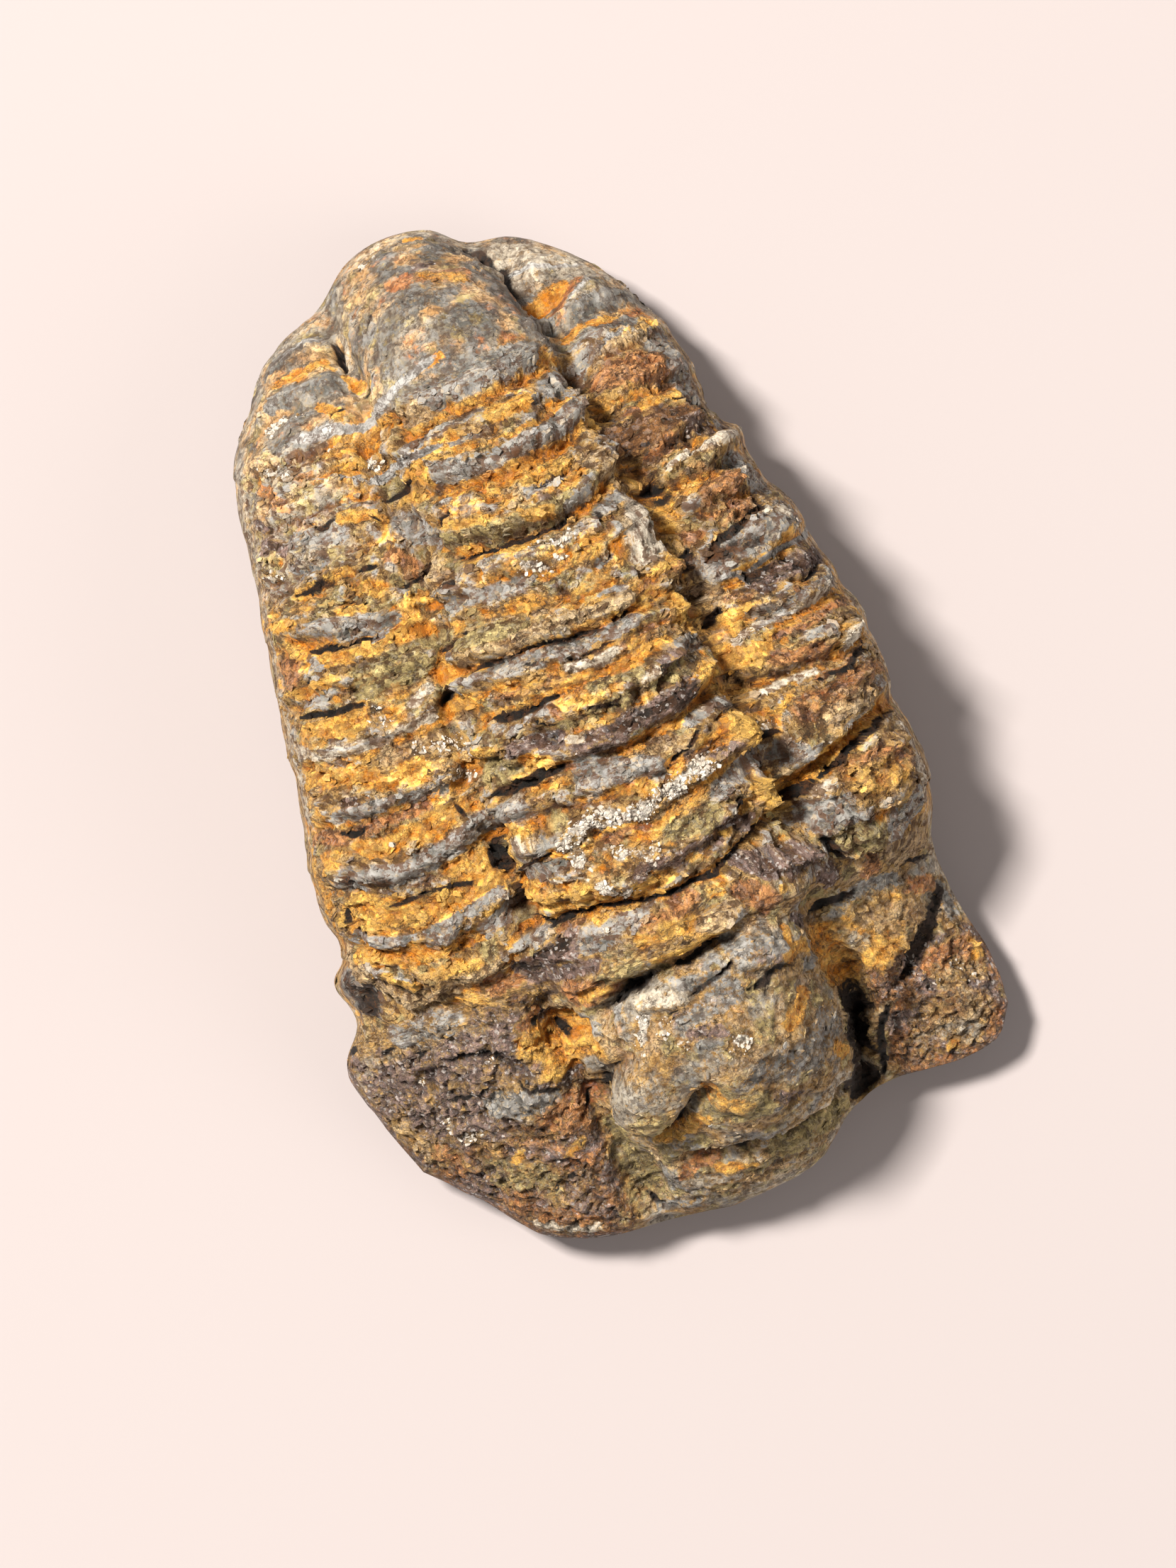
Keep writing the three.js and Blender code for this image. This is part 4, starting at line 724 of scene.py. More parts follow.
    ("calcite", 0.45, [(-2.1, -7.3), (-2, -8.2)], 0.9),
    ("calcite", 0.35, [(0.2, -8.4), (1.3, -8.8)], 0.75),
    ("calcite", 0.25, [(1.8, -9.2), (2.7, -8.7)], 0.6), ("calcite", 0.18, [(7.7, -5)], 0.8),
    ("rust", 0.3, [(0, -7.4), (2.5, -7.6)], 0.7), ("olive", 0.6, [(3.5, -8.3), (6, -8.6)], 0.75),
    ("ochre", 0.28, [(4.2, -7.5), (6, -7), (8.4, -5.9)], 0.6),
    ("slate", 0.5, [(7, -7.1), (8.2, -6.7), (9.8, -5.9)], 0.9),
    ("painted_shade", 0.35, [(7.8, -6.8), (9.8, -6.1)], 0.35), ("slate", 0.45, [(-5, -7.6), (-3.1, -7.9)], 1),
    ("ochre", 0.5, [(-4.9, -4.8), (-3.7, -4.9)], 1), ("pale", 0.5, [(-4.4, -5.7), (-3.9, -6)], 0.55),
    ("ochre", 0.25, [(-5.7, -5.4), (-5.4, -6.9)], 1),
    ("ochre", 0.55, [(-5.6, -8.2), (-4.5, -8.9), (-3, -9.5), (-1.4, -10.2)], 1),
    ("tan", 0.45, [(-4.4, -9), (-2.6, -9.7)], 0.5), ("pale", 0.12, [(-4.2, -8.3), (-1.8, -9.1)], 0.8),
    ("calcite", 0.4, [(-1, -9.9), (-0.1, -10.6)], 0.95), ("purple", 0.6, [(1, -9.9), (6, -10)], 0.6),
    ("purple", 0.5, [(6.5, -9), (7.8, -9.6)], 0.8),
    ("ochre", 0.14, [(-6.2, -10.5), (-3.5, -11), (0, -11.4), (3, -11.7), (5.3, -11.5), (7, -10.7),
        (9.3, -9.6)], 0.9),
    # left ribs
    ("ochre", 0.35, [(-7.6, 15.7), (-6, 15.2), (-5.3, 14.8)], 0.9),
    ("slate", 0.5, [(-10.5, 15.4), (-9, 14.9), (-7.8, 14.6)], 0.7),
    ("slate", 0.35, [(-11, 13.8), (-9.4, 13.7)], 0.7), ("rust", 0.4, [(-7.2, 19.2), (-5.2, 18.9)], 0.6),
    ("ochre", 0.4, [(-7, 19.5), (-5.2, 19)], 0.5), ("calcite", 0.25, [(-12.6, 14.2), (-12, 13.8)], 0.6),
    ("ochre", 0.3, [(-11.4, 12.3), (-9.8, 12.6), (-8.2, 12.6)], 0.8),
    ("painted_shade", 0.25, [(-9.9, 12.5), (-9.3, 12.2)], 0.4), ("ochre", 0.5, [(-8.2, 11.6), (-7, 10.9)], 0.75),
    ("ochre", 0.32, [(-9.6, 10.5), (-8.2, 10.1)], 1), ("ochre", 0.4, [(-13.2, 11), (-12.2, 10.7)], 0.8),
    ("slate", 0.55, [(-11.2, 10), (-9, 9.3), (-6.8, 8.9)], 0.9),
    ("rust", 0.6, [(-13.7, 8.9), (-13.5, 7.9)], 0.75), ("slate", 0.3, [(-12.3, 8.6), (-11.8, 7.7)], 0.8),
    ("ochre", 0.12, [(-12.2, 9), (-10, 8.7), (-8.6, 8.4)], 0.9),
    ("ochre", 0.42, [(-11.2, 8.3), (-10, 7.9), (-8.5, 7.7), (-7, 8.1), (-5.3, 8.6)], 1),
    ("slate", 0.18, [(-8.6, 8.3), (-7.5, 8.4)], 0.9), ("olive", 0.6, [(-10, 6.8), (-4.6, 7)], 0.6),
    ("ochre", 0.32, [(-13.6, 6.9), (-11.4, 6.9)], 0.9),
    ("slate", 0.28, [(-13.3, 6.2), (-11.5, 6.4)], 0.7),
    ("ochre", 0.2, [(-14, 5.6), (-12, 5.2), (-10.2, 5)], 0.9),
    ("olive", 0.6, [(-10, 5.9), (-6, 5.9)], 0.8),
    ("ochre", 0.5, [(-13.7, 4.7), (-12, 4.4), (-10.8, 4.3)], 1),
    ("slate", 0.25, [(-12.7, 3.7), (-12.1, 3.5)], 0.6),
    ("calcite", 0.3, [(-9.9, 4.8), (-9.5, 3.2)], 0.45), ("pale", 0.4, [(-7.6, 4), (-6.5, 4.5)], 0.7),
    ("pale", 0.35, [(-15.2, 4.4), (-13.8, 3.1), (-10, 2.7), (-7, 2.9)], 0.65),
    ("ochre", 0.5, [(-14.8, 2), (-13, 1.6), (-11.8, 0.9), (-11, 0.9)], 0.95),
    ("tan", 0.7, [(-10, 1.5), (-7, 1.5)], 0.7),
    ("calcite", 0.5, [(-8.3, 1.3), (-6.4, 1), (-5.6, 0.3)], 0.4),
    ("purple", 0.3, [(-13.2, 0), (-12.8, -0.1)], 0.8), ("calcite", 0.1, [(-12, 0)], 0.9),
    ("slate", 0.4, [(-14, -0.6), (-11, -0.8), (-7.6, -1.2)], 0.8),
    ("calcite", 0.3, [(-7.2, -0.7), (-6.3, -0.9)], 0.8),
    ("rust", 0.4, [(-15.8, -1.3), (-14, -1.8), (-12, -1.9), (-9, -1.9)], 0.8),
    ("ochre", 0.5, [(-13.5, -2.6), (-12, -3.2), (-11, -2.9), (-9.7, -2.9)], 1),
    ("ochre", 0.4, [(-9.5, -2.5), (-7, -2.5)], 0.75), ("calcite", 0.14, [(-11.7, -3.1)], 0.9),
    ("slate", 0.95, [(-14.4, -4.3), (-12.8, -4.9)], 0.9),
    ("slate", 0.7, [(-14, -4.5), (-12, -4.9), (-9, -4.6), (-6.5, -4), (-4, -3.9)], 0.95),
    ("painted_shade", 0.5, [(-14.5, -4.3), (-12.9, -4.9)], 0.4), ("ochre", 0.6, [(-9, -5.8), (-7, -5.9)], 0.85),
    ("ochre", 0.9, [(-15, -6), (-13, -7.1), (-11, -7.6), (-9, -7.3), (-7.1, -7.2)], 1),
    ("slate", 0.35, [(-15.3, -7.3), (-13.8, -8.2), (-12, -8.8), (-9, -8.3), (-7, -7.9)], 0.9),
    ("slate", 0.3, [(-11.8, -9.2), (-10.3, -9.2)], 1),
    ("ochre", 0.35, [(-15.6, -8.4), (-14.5, -9.1), (-13, -9.9), (-10.5, -10.1), (-9, -10)], 0.95),
    ("ochre", 0.22, [(-8.3, -8.9), (-7.5, -8.8)], 0.9),
    ("slate", 0.45, [(-8.6, -9.7), (-7.2, -9.4), (-6.5, -9)], 0.9),
    ("painted_shade", 0.35, [(-8.2, -9.7), (-6.5, -9.2)], 0.35),
    ("ochre", 0.28, [(-14.7, -10.3), (-13.3, -11.4)], 0.95),
    ("ochre", 0.4, [(-12.5, -10.9), (-9.8, -11.3)], 0.65),
    ("pale", 0.5, [(-13.4, 19), (-14, 14), (-15.3, 7), (-15.7, 3), (-16, 0)], 0.7),
    ("tan", 0.5, [(-16.4, -2.5), (-17, -5.5), (-16.8, -8.3), (-16, -10.5), (-14.8, -12.4)], 0.8),
    ("ochre", 0.35, [(-16.3, -2), (-16.7, -4.5), (-16.6, -7)], 0.6),
    # right ribs
    ("tan", 0.6, [(10.3, 19.1), (12.5, 18.9)], 0.7), ("rust", 0.35, [(10.5, 18.9), (12.3, 18.7)], 0.45),
    ("rust", 0.9, [(9.9, 17.7), (12.7, 17.2)], 0.95), ("ochre", 0.5, [(9, 16.8), (10, 15.9)], 0.6),
    ("brown", 0.8, [(8.6, 19.6), (9.3, 14.5), (10, 10.5), (10.4, 5), (10.6, 1), (10.9, -3),
        (10.7, -6)], 0.25),
    ("ochre", 0.8, [(9, 16), (9.6, 12.5), (10.1, 9), (10.3, 6)], 0.45),
    ("ochre", 0.7, [(10.4, 3.4), (10.7, 0), (10.9, -3)], 0.4),
    ("rust", 0.6, [(10.4, 15.2), (12, 14.5)], 0.8), ("painted_shade", 0.5, [(10.2, 15.2), (12, 14.6)], 0.35),
    ("ochre", 0.35, [(11.3, 15.3), (12.7, 15.5)], 0.95),
    ("slate", 0.8, [(13.6, 18.8), (14.2, 16.2), (14.4, 14.9)], 0.75),
    ("brown", 1.1, [(9.6, 14.2), (13, 13.6)], 1), ("painted_shade", 0.9, [(10.2, 13.6), (12.6, 13)], 0.35),
    ("rust", 0.6, [(10.8, 12.6), (12.6, 12.6)], 0.5), ("purple", 0.5, [(12.8, 13.2), (14, 12.4)], 0.6),
    ("slate", 0.4, [(14.9, 12.9), (15.9, 12.2)], 0.8),
    ("pale", 0.28, [(11.3, 11.15), (13, 11), (14.2, 11.5), (15.8, 12)], 1),
    ("rust", 0.45, [(11.2, 10.6), (14.5, 10.6)], 0.6), ("olive", 0.35, [(11.2, 10.7), (14.5, 10.6)], 0.5),
    ("rust", 0.55, [(12.9, 9), (14.2, 9.2)], 1), ("slate", 0.6, [(15, 10.5), (16, 8.5)], 0.75),
    ("ochre", 0.6, [(9.4, 10.6), (10.4, 9.6)], 0.75), ("painted_shade", 0.5, [(10.4, 11.3), (10.6, 10.2)], 0.5),
    ("rust", 0.7, [(11.2, 7.2), (14.4, 7.7)], 0.55), ("olive", 0.5, [(11.4, 8), (12.6, 7.2)], 0.5),
    ("slate", 0.85, [(11.6, 5.4), (14, 5.7), (16.5, 6.4)], 0.95),
    ("painted_shade", 0.9, [(12, 5), (14.5, 5.4)], 0.45), ("pale", 0.4, [(15.2, 6.9), (17, 6.2)], 0.6),
    ("tan", 0.4, [(10.9, 4), (11.4, 3.1)], 0.8), ("purple", 0.7, [(13.3, 3.3), (17.6, 3.4)], 0.85),
    ("painted_shade", 0.6, [(13.4, 3.5), (17.6, 3.5)], 0.5), ("rust", 0.5, [(11.8, 2.9), (12.9, 2.6)], 0.45),
    ("rust", 0.22, [(15.2, 2.1), (15.3, 1.7)], 0.9),
    ("pale", 0.25, [(11, 0.4), (12.5, 0.9), (14, 1), (17, 1.3), (18.3, 1.8)], 0.8),
    ("slate", 0.35, [(12.4, 1.7), (14.5, 1.4), (17.8, 1.9)], 0.7), ("ochre", 0.28, [(11.7, 1.2)], 1),
    ("ochre", 0.4, [(10.6, 0.2), (11, -0.4)], 1), ("ochre", 0.5, [(11.4, -0.7), (12.7, -0.2)], 1),
    ("ochre", 0.22, [(13, 0.1), (15, 0.4), (17.5, 0.9), (18.3, 1)], 0.8),
    ("rust", 0.25, [(13.5, -0.1), (16, 0.1), (18, 0.5)], 0.8),
    ("rust", 0.75, [(13.3, -1.5), (15.5, -2)], 0.75), ("purple", 0.5, [(12.8, -2), (14, -2.2)], 0.4),
    ("slate", 0.28, [(15, -0.7), (15.9, -0.8)], 0.9), ("pale", 0.45, [(16.9, -1.7), (18, -1.3)], 0.9),
    ("rust", 0.16, [(14.8, -3.3), (16.4, -3.2), (17.9, -2.5), (18.4, -1.8)], 1),
    ("pale", 0.22, [(11.5, -3), (13, -2.7), (15, -2.85)], 0.8),
    ("ochre", 0.16, [(10.8, -4), (12, -4.3), (13.3, -3.5)], 1),
    ("calcite", 0.3, [(10.9, -4.7), (11.4, -5)], 0.7),
    ("rust", 1.2, [(13.6, -4.9), (16, -4.4), (17.8, -4.3)], 0.55),
    ("tan", 0.8, [(14.5, -5.7), (17, -5)], 0.5), ("slate", 0.4, [(18.2, -4.7)], 0.7),
    ("slate", 0.8, [(10.4, -6.2), (12.4, -6.7)], 0.75), ("olive", 0.6, [(12.6, -5.8), (13.8, -6.2)], 0.5),
    ("ochre", 0.5, [(10, -9), (12, -8.4), (14, -7.6), (16, -7), (18.1, -6.1)], 1),
    ("slate", 0.45, [(12, -9.45), (13.5, -9.3)], 0.9), ("pale", 0.28, [(12.2, -9.3), (13.4, -9.2)], 0.7),
    ("slate", 0.9, [(11.6, -10.5), (14, -10.8)], 0.95),
    ("painted_shade", 0.8, [(10.6, -10.2), (12.6, -11.4)], 0.4), ("rust", 1.2, [(14.9, -9), (17.5, -9.4)], 0.6),
    ("ochre", 1, [(14.8, -9.6), (17, -9.8)], 0.45), ("olive", 0.8, [(13, -12.3), (14.6, -12.5)], 0.8),
    ("slate", 0.55, [(15.3, -13), (17.6, -11.4)], 0.85), ("pale", 0.5, [(18.6, -7.5), (18.5, -12)], 0.6),
    ("rust", 0.16, [(14.1, -14.3), (15.4, -13.8)], 1), ("tan", 0.7, [(15.4, -14.6), (17.5, -14.4)], 0.75),
    # head: neck ring
    ("slate", 0.5, [(-6.9, -11.5), (-5.6, -11.3)], 0.8),
    ("ochre", 0.15, [(-7.9, -11.2), (-6.6, -10.5), (-5.5, -10.6)], 0.9),
    ("tan", 0.8, [(-14.3, -12.3), (-9, -12.4)], 0.7), ("ochre", 0.5, [(-13, -13.6), (-9.5, -13.6)], 0.5),
    ("rust", 0.35, [(-4.5, -11.5), (-3.3, -11.7)], 0.8),
    ("purple", 0.8, [(-7.3, -12.8), (-5.5, -12.7), (-4, -12.3)], 1),
    ("painted_shade", 0.9, [(-7, -12.8), (-4.8, -12.7)], 0.45),
    ("purple", 0.5, [(-6.5, -13.6), (-3.4, -13.9)], 0.8), ("rust", 0.6, [(-9.4, -13), (-8, -13.4)], 0.7),
    ("slate", 0.65, [(-3, -12.4), (0.8, -12.4)], 0.85), ("calcite", 0.22, [(-1.8, -12.3)], 1),
    ("ochre", 0.8, [(0, -13.6), (2, -13.3), (3, -14.3)], 0.7),
    ("rust", 0.6, [(0.5, -13), (3.3, -12.3)], 0.6), ("tan", 0.65, [(3.7, -14.1), (5.1, -13.6)], 0.9),
    ("rust", 0.8, [(6.3, -13.2), (7, -14.2)], 0.85), ("ochre", 0.35, [(7.8, -13.7)], 0.8),
    ("purple", 0.9, [(7.2, -11.9), (9.5, -12.5)], 0.8),
    ("purple", 0.7, [(9.6, -12.2), (11.4, -14.2)], 0.85),
    ("slate", 0.4, [(9.5, -13.6), (11.3, -13)], 0.6), ("purple", 0.4, [(8.5, -15.8), (9.5, -16.2)], 0.9),
    ("pale", 0.22, [(10.5, -12), (11.5, -13.4)], 0.6), ("rust", 0.8, [(-5, -15), (-3.6, -15.6)], 0.8),
    ("ochre", 0.4, [(-4.6, -15.4), (-3.6, -15.6)], 0.6), ("olive", 0.5, [(-3, -15), (-1, -14.8)], 0.6),
    ("ochre", 0.3, [(0, -15.1), (4, -15)], 0.7), ("purple", 0.5, [(-8.2, -15), (-6.2, -14.7)], 0.5),
    ("tan", 0.4, [(-7, -15.8), (-5.8, -16.1)], 0.7),
    # head: left cheek
    ("grey", 2.2, [(-17.5, -16), (-10, -16.4)], 0.75), ("grey", 1.8, [(-16, -19.4), (-10.5, -19.8)], 0.7),
    ("purple", 2.4, [(-17, -16.6), (-10, -16.8)], 0.6), ("purple", 1.9, [(-16, -19.4), (-12, -20)], 0.6),
    ("purple", 1.4, [(-9.5, -26)], 0.45), ("slate", 0.8, [(-15.4, -13.8), (-12.6, -14.2)], 0.6),
    ("olive", 1.2, [(-13.4, -23.2), (-10.5, -25)], 0.45),
    ("tan", 0.5, [(-17.5, -19), (-16.4, -21.5)], 0.5),
    ("slate", 0.6, [(-17.7, -9), (-17.2, -10.5), (-16.6, -11.7)], 1),
    ("painted_shade", 0.6, [(-17.7, -9), (-17.2, -10.5), (-16.6, -11.7)], 0.5),
    ("tan", 0.22, [(-19.2, -14), (-19.2, -16.5)], 0.9), ("calcite", 0.28, [(-15.4, -16.8)], 0.5),
    ("calcite", 0.25, [(-11, -17.3)], 0.4), ("calcite", 0.25, [(-14.9, -19.5), (-14.6, -20.6)], 0.45),
    ("calcite", 0.2, [(-14.2, -21), (-12.9, -20.9)], 0.5),
    ("ochre", 1, [(-8.6, -17.2), (-6.6, -17.6), (-5.8, -18.6), (-7.8, -19)], 0.7),
    ("rust", 0.4, [(-8.6, -16), (-7.7, -15.9)], 0.8), ("ochre", 0.45, [(-6, -18), (-5.3, -18.9)], 1),
    ("slate", 0.7, [(-11.6, -19.5), (-9.8, -19.9), (-8.6, -20.5)], 0.85),
    ("rust", 0.9, [(-9, -21.5), (-6.6, -22)], 0.75), ("rust", 0.8, [(-13.5, -22), (-10, -23)], 0.3),
    ("ochre", 0.22, [(-12, -23.1), (-11.5, -22.8)], 0.8),
    ("ochre", 0.45, [(-8.8, -24), (-8, -23.7)], 0.5), ("rust", 0.5, [(-16, -21), (-15, -22.4)], 0.5),
    ("olive", 0.5, [(-5.8, -24), (-5.4, -28)], 0.8),
    ("pale", 0.35, [(-12.6, -27.2), (-11, -28), (-9, -28.8)], 0.55),
    # head: glabella
    ("grey", 1.5, [(-3.6, -21.9), (-3, -22)], 0.8), ("olive", 1.2, [(-3, -23)], 0.5),
    ("brown", 0.25, [(-4.8, -23.9), (-3.2, -24.4), (-1.8, -24)], 0.5),
    ("olive", 0.35, [(-4.6, -23.4), (-2.5, -23.7)], 0.8),
    ("ochre", 0.45, [(-3.4, -25), (-1.6, -24.9), (-0.4, -24.3)], 1),
    ("ochre", 0.35, [(-5.2, -22), (-5, -23.3)], 0.6),
    ("calcite", 0.3, [(-2.1, -17.1), (-1.7, -18), (-2.6, -19.3)], 0.8),
    ("calcite", 0.22, [(-0.8, -18.5), (-1.3, -19.2)], 0.8),
    ("grey", 0.9, [(-2, -16.9), (0.6, -17.4)], 0.9), ("pale", 0.5, [(-1.4, -17.1), (0.2, -17.4)], 0.6),
    ("slate", 0.5, [(1, -17), (3.4, -17.4)], 0.7), ("purple", 0.6, [(0, -18.9), (3, -18.6)], 0.75),
    ("slate", 0.8, [(0.3, -19.3), (3.5, -18.2)], 0.6), ("purple", 0.4, [(0.5, -19.8), (2, -19.9)], 0.7),
    ("slate", 0.9, [(4.8, -16.2), (6.3, -17.2)], 0.9), ("purple", 0.5, [(5, -16.8), (6, -17.4)], 0.4),
    ("ochre", 0.45, [(6.8, -17.6), (8.2, -17.3)], 0.8), ("ochre", 0.3, [(7.5, -16), (7.2, -16.7)], 0.7),
    ("slate", 0.45, [(8.3, -18.5)], 0.7), ("ochre", 0.35, [(5.4, -20.6), (7.2, -19.8)], 0.95),
    ("calcite", 0.3, [(2, -20.8), (2.8, -20.5)], 0.6),
    ("calcite", 0.25, [(-0.4, -19.9), (0.2, -20.3)], 0.4),
    ("slate", 0.35, [(1.5, -22.8), (3, -22)], 0.75), ("olive", 1, [(0.3, -23.5), (2, -24.2)], 0.8),
    ("ochre", 0.6, [(0.3, -23.2), (1.6, -23.8)], 0.45),
    ("slate", 1.2, [(4.4, -22.6), (7.6, -21.8)], 0.55), ("ochre", 0.32, [(7.4, -23), (7.6, -23.8)], 0.9),
    ("ochre", 0.28, [(-0.2, -22.7), (0.4, -22.5)], 0.8), ("purple", 0.5, [(3, -24), (4, -24.4)], 0.5),
    ("pale", 0.7, [(5.6, -26), (7, -25)], 0.5), ("olive", 0.9, [(3, -28), (7, -27.6)], 0.7),
    ("rust", 0.4, [(-3, -27.6), (-1, -27.4)], 0.6), ("ochre", 0.2, [(-1, -28), (1.2, -28.5)], 0.9),
    ("pale", 0.4, [(-3, -28.3), (0, -28.9)], 0.5), ("slate", 0.4, [(-5, -29.4), (-3, -29.6)], 0.6),
    # head: right cheek and its dropped piece
    ("slate", 0.45, [(11.5, -16), (13, -15.6), (14.8, -15.9)], 0.85),
    ("rust", 0.3, [(13.4, -14.8), (14.4, -14.6)], 0.8),
    ("ochre", 1.3, [(12.2, -17.6), (14.3, -17.6), (12.7, -19.4)], 0.55),
    ("tan", 1, [(12.5, -17.5), (15, -18)], 0.5), ("rust", 0.6, [(15.8, -16.7), (16.8, -16.9)], 0.6),
    ("ochre", 0.45, [(11.4, -19.8), (12.6, -19.3)], 0.9),
    ("slate", 0.6, [(17.6, -17.4), (17.4, -18.9)], 0.7),
    ("rust", 0.9, [(15.4, -21.5), (17.8, -21.6)], 0.9), ("tan", 0.9, [(15.6, -22), (17.2, -22.4)], 0.5),
    ("tan", 1.5, [(14.2, -24.2), (16.4, -24.4)], 0.5), ("grey", 0.8, [(13, -25.6), (16, -25.8)], 0.5),
    ("ochre", 0.35, [(18, -21.1), (17.9, -21.8)], 0.7), ("calcite", 0.2, [(15.2, -22.2)], 0.5),
    ("calcite", 0.3, [(16.4, -21.8), (17.3, -23)], 0.4),
    ("ochre", 0.3, [(14.3, -26.5), (14.8, -26.4)], 0.6), ("ochre", 0.8, [(10, -17.5), (10, -20.3)], 0.7),
    ("brown", 0.8, [(10.1, -16.5), (10, -20.8)], 0.25),
    ("painted_shade", 1, [(9.9, -21.8), (9.2, -23.4), (8.8, -26.6)], 1),
    ("tan", 0.35, [(11, -23.6), (12, -22.6)], 0.8),
    ("painted_shade", 0.36, [(17.2, -17.5), (16.3, -18.8), (15, -20.1), (13.6, -21.2)], 1),
]
down = np.where(is_back, eased(inside / 0.7 + 0.15), 0)  # strokes fade out on the steep rim
bare = np.zeros(len(smooth))  # how bare the shell is
for stain, half_width, line, strength in STROKES:
    found, near, _ = from_line(line, wx, wy, 2 * half_width)
    cover = eased(1.5 - near / (half_width * (1 + 0.9 * wander[found, 1]))) * down[found]
    laid = cover * strength
    # Painted shade lies over the stains and leaves them as they are.
    if stain in ("slate", "pale"):
        bare[found] = np.maximum(bare[found], laid)
    elif stain != "painted_shade":
        bare[found] *= 1 - laid
    if stain != "painted_shade":
        for other in COLOURS:
            stains[other][found] *= 1 - laid
    stains[stain][found] = np.maximum(stains[stain][found], laid)
stains["calcite"] *= eased(0.6 + 1.2 * rough(smooth / 0.8 + 60, 3, 99))
# The cracks get painted shade too, darker where they are cut deeper.
stains["painted_shade"] = np.clip(np.maximum(stains["painted_shade"], 1.6 * crack * is_back), 0, 1)

# Veins of white calcite fill old cracks: half width and line.
VEINS = [
    (0.24, [(-8.5, 20.6), (-6.5, 20.6), (-4.8, 20.5), (-3.2, 20.75), (-1.8, 21.2), (1.2, 22)]),
    (0.27, [(-5.4, 17.1), (-3.4, 17.35), (-1.8, 17.25), (-0.4, 17.3)]),
    (0.07, [(-8.6, 18.5), (-6.8, 17.8), (-5.2, 17.2)]), (0.1, [(-7.6, 25.9), (-6.2, 26.2), (-4.8, 26.1)]),
    (0.12, [(9, 22.5), (10, 22.9), (11, 23.1)]), (0.13, [(9.6, 19.4), (10.8, 19.7), (12.2, 19.8)]),
    (0.15, [(11, 4.3), (12, 4.2), (12.9, 4), (13.1, 3.2)]),
    (0.15, [(13, 3.9), (14, 4.2), (15.5, 4.6), (17.5, 4.8), (18, 5.6)]),
    (0.1, [(11.8, 0.3), (12.8, 0.8), (14.2, 0.95), (15.4, 0.9)]),
    (0.08, [(6, 26.6), (8.6, 25.2), (11.2, 24.6)]), (0.07, [(-13.6, 3.5), (-11.8, 2.9), (-9, 2.7)]),
]


def drawn(half_width, line, wobble):
    """How far in a thin line each point is: above 0.5 is inside it. The line thins towards its ends."""
    wavy = x + wobble * wander[:, 0], y + wobble * wander[:, 1]
    found, near, _ = from_line(line, *wavy, half_width + 0.5)
    inner = half_width
    if len(line) > 1:
        inner = half_width * np.sqrt(eased(from_ends(line, x[found], y[found]) / 1.2 + 0.1))
    return found, np.clip(0.5 + inner - near, 0, 1)


stains["vein"] = np.zeros(len(smooth))
for half_width, line in VEINS:
    found, level = drawn(half_width, line, 0.1)
    stains["vein"][found] = np.maximum(stains["vein"][found], level)
# Thin near-black lines of painted shade mark the insides of the cracks.
stains["painted_crack_shade"] = np.zeros(len(smooth))
for _, half_width, line in CRACKS:
    found, level = drawn(1.3 * half_width, line, 0.35)
    stains["painted_crack_shade"][found] = np.maximum(stains["painted_crack_shade"][found], level * is_back[found])

# Bare shell is a smooth plate, so it keeps less of the crumbled surface.
stone -= outward * (0.35 * bare * shattered * flaking * rim * is_back)[:, None]

body_mesh.vertices.foreach_set("co", (stone * MM).astype(np.float32).ravel())
body_mesh.update()
body_mesh.polygons.foreach_set("use_smooth", np.ones(len(body_mesh.polygons), bool))


def keep_on_mesh(name, values, kind="FLOAT", field="value"):
    """Stores values on the stone's vertices for its materials and for the grains."""
    layer = body_mesh.attributes.new(name, kind, "POINT")
    layer.data.foreach_set(field, values.astype(np.float32).ravel())


for name, values in stains.items():
    keep_on_mesh(name, np.clip(values, 0, 1))
calm = np.clip(dome + 0.5 * glabella, 0, 1) * (1 - 0.7 * np.clip(stains["ochre"], 0, 1))
keep_on_mesh("calm", calm)
# The tone is lower in the hollows, which is painted shade, and varies with the chips' lift as wear; the
# calm parts get broad patches.
wear_and_hollow_shade = 0.5 - 1.4 * hollow + 0.16 * (flakes * ribbed + small_facets * (1 - ribbed))
wear_and_hollow_shade += calm * (0.9 * rough(grain * (0.9, 0.8, 0.9) + 50, 3, 101) - 0.25)
keep_on_mesh("wear_and_hollow_shade", np.clip(wear_and_hollow_shade, 0, 1))
crumbly = np.clip(0.12 + 0.9 * shattered + 0.5 * cheek - 0.5 * stains["pale"], 0, 1)
keep_on_mesh("crumbly", np.where(is_back, rim, 0) * crumbly)
keep_on_mesh("banded", shell * (1 - 0.7 * dome) * (1 - 0.85 * glabella))
keep_on_mesh("layers", grain, "FLOAT_VECTOR", "vector")
body = bpy.data.objects.new("trilobite_stone", body_mesh)
bpy.context.scene.collection.objects.link(body)


def tint(hex_code):
    """An sRGB hex colour as linear RGBA."""
    channels = [int(hex_code[n : n + 2], 16) / 255 for n in (1, 3, 5)]
    return [c / 12.92 if c <= 0.04045 else ((c + 0.055) / 1.055) ** 2.4 for c in channels] + [1]


def add(tree, kind, inputs=None, **settings):
    """Adds a node with its settings. An input is a value, or another node's output to link."""
    made = tree.nodes.new(kind)
    for name, value in settings.items():
        setattr(made, name, value)
    for socket, value in (inputs or {}).items():
        if isinstance(value, bpy.types.NodeSocket):
            tree.links.new(value, made.inputs[socket])
        else:
            made.inputs[socket].default_value = value
    return made


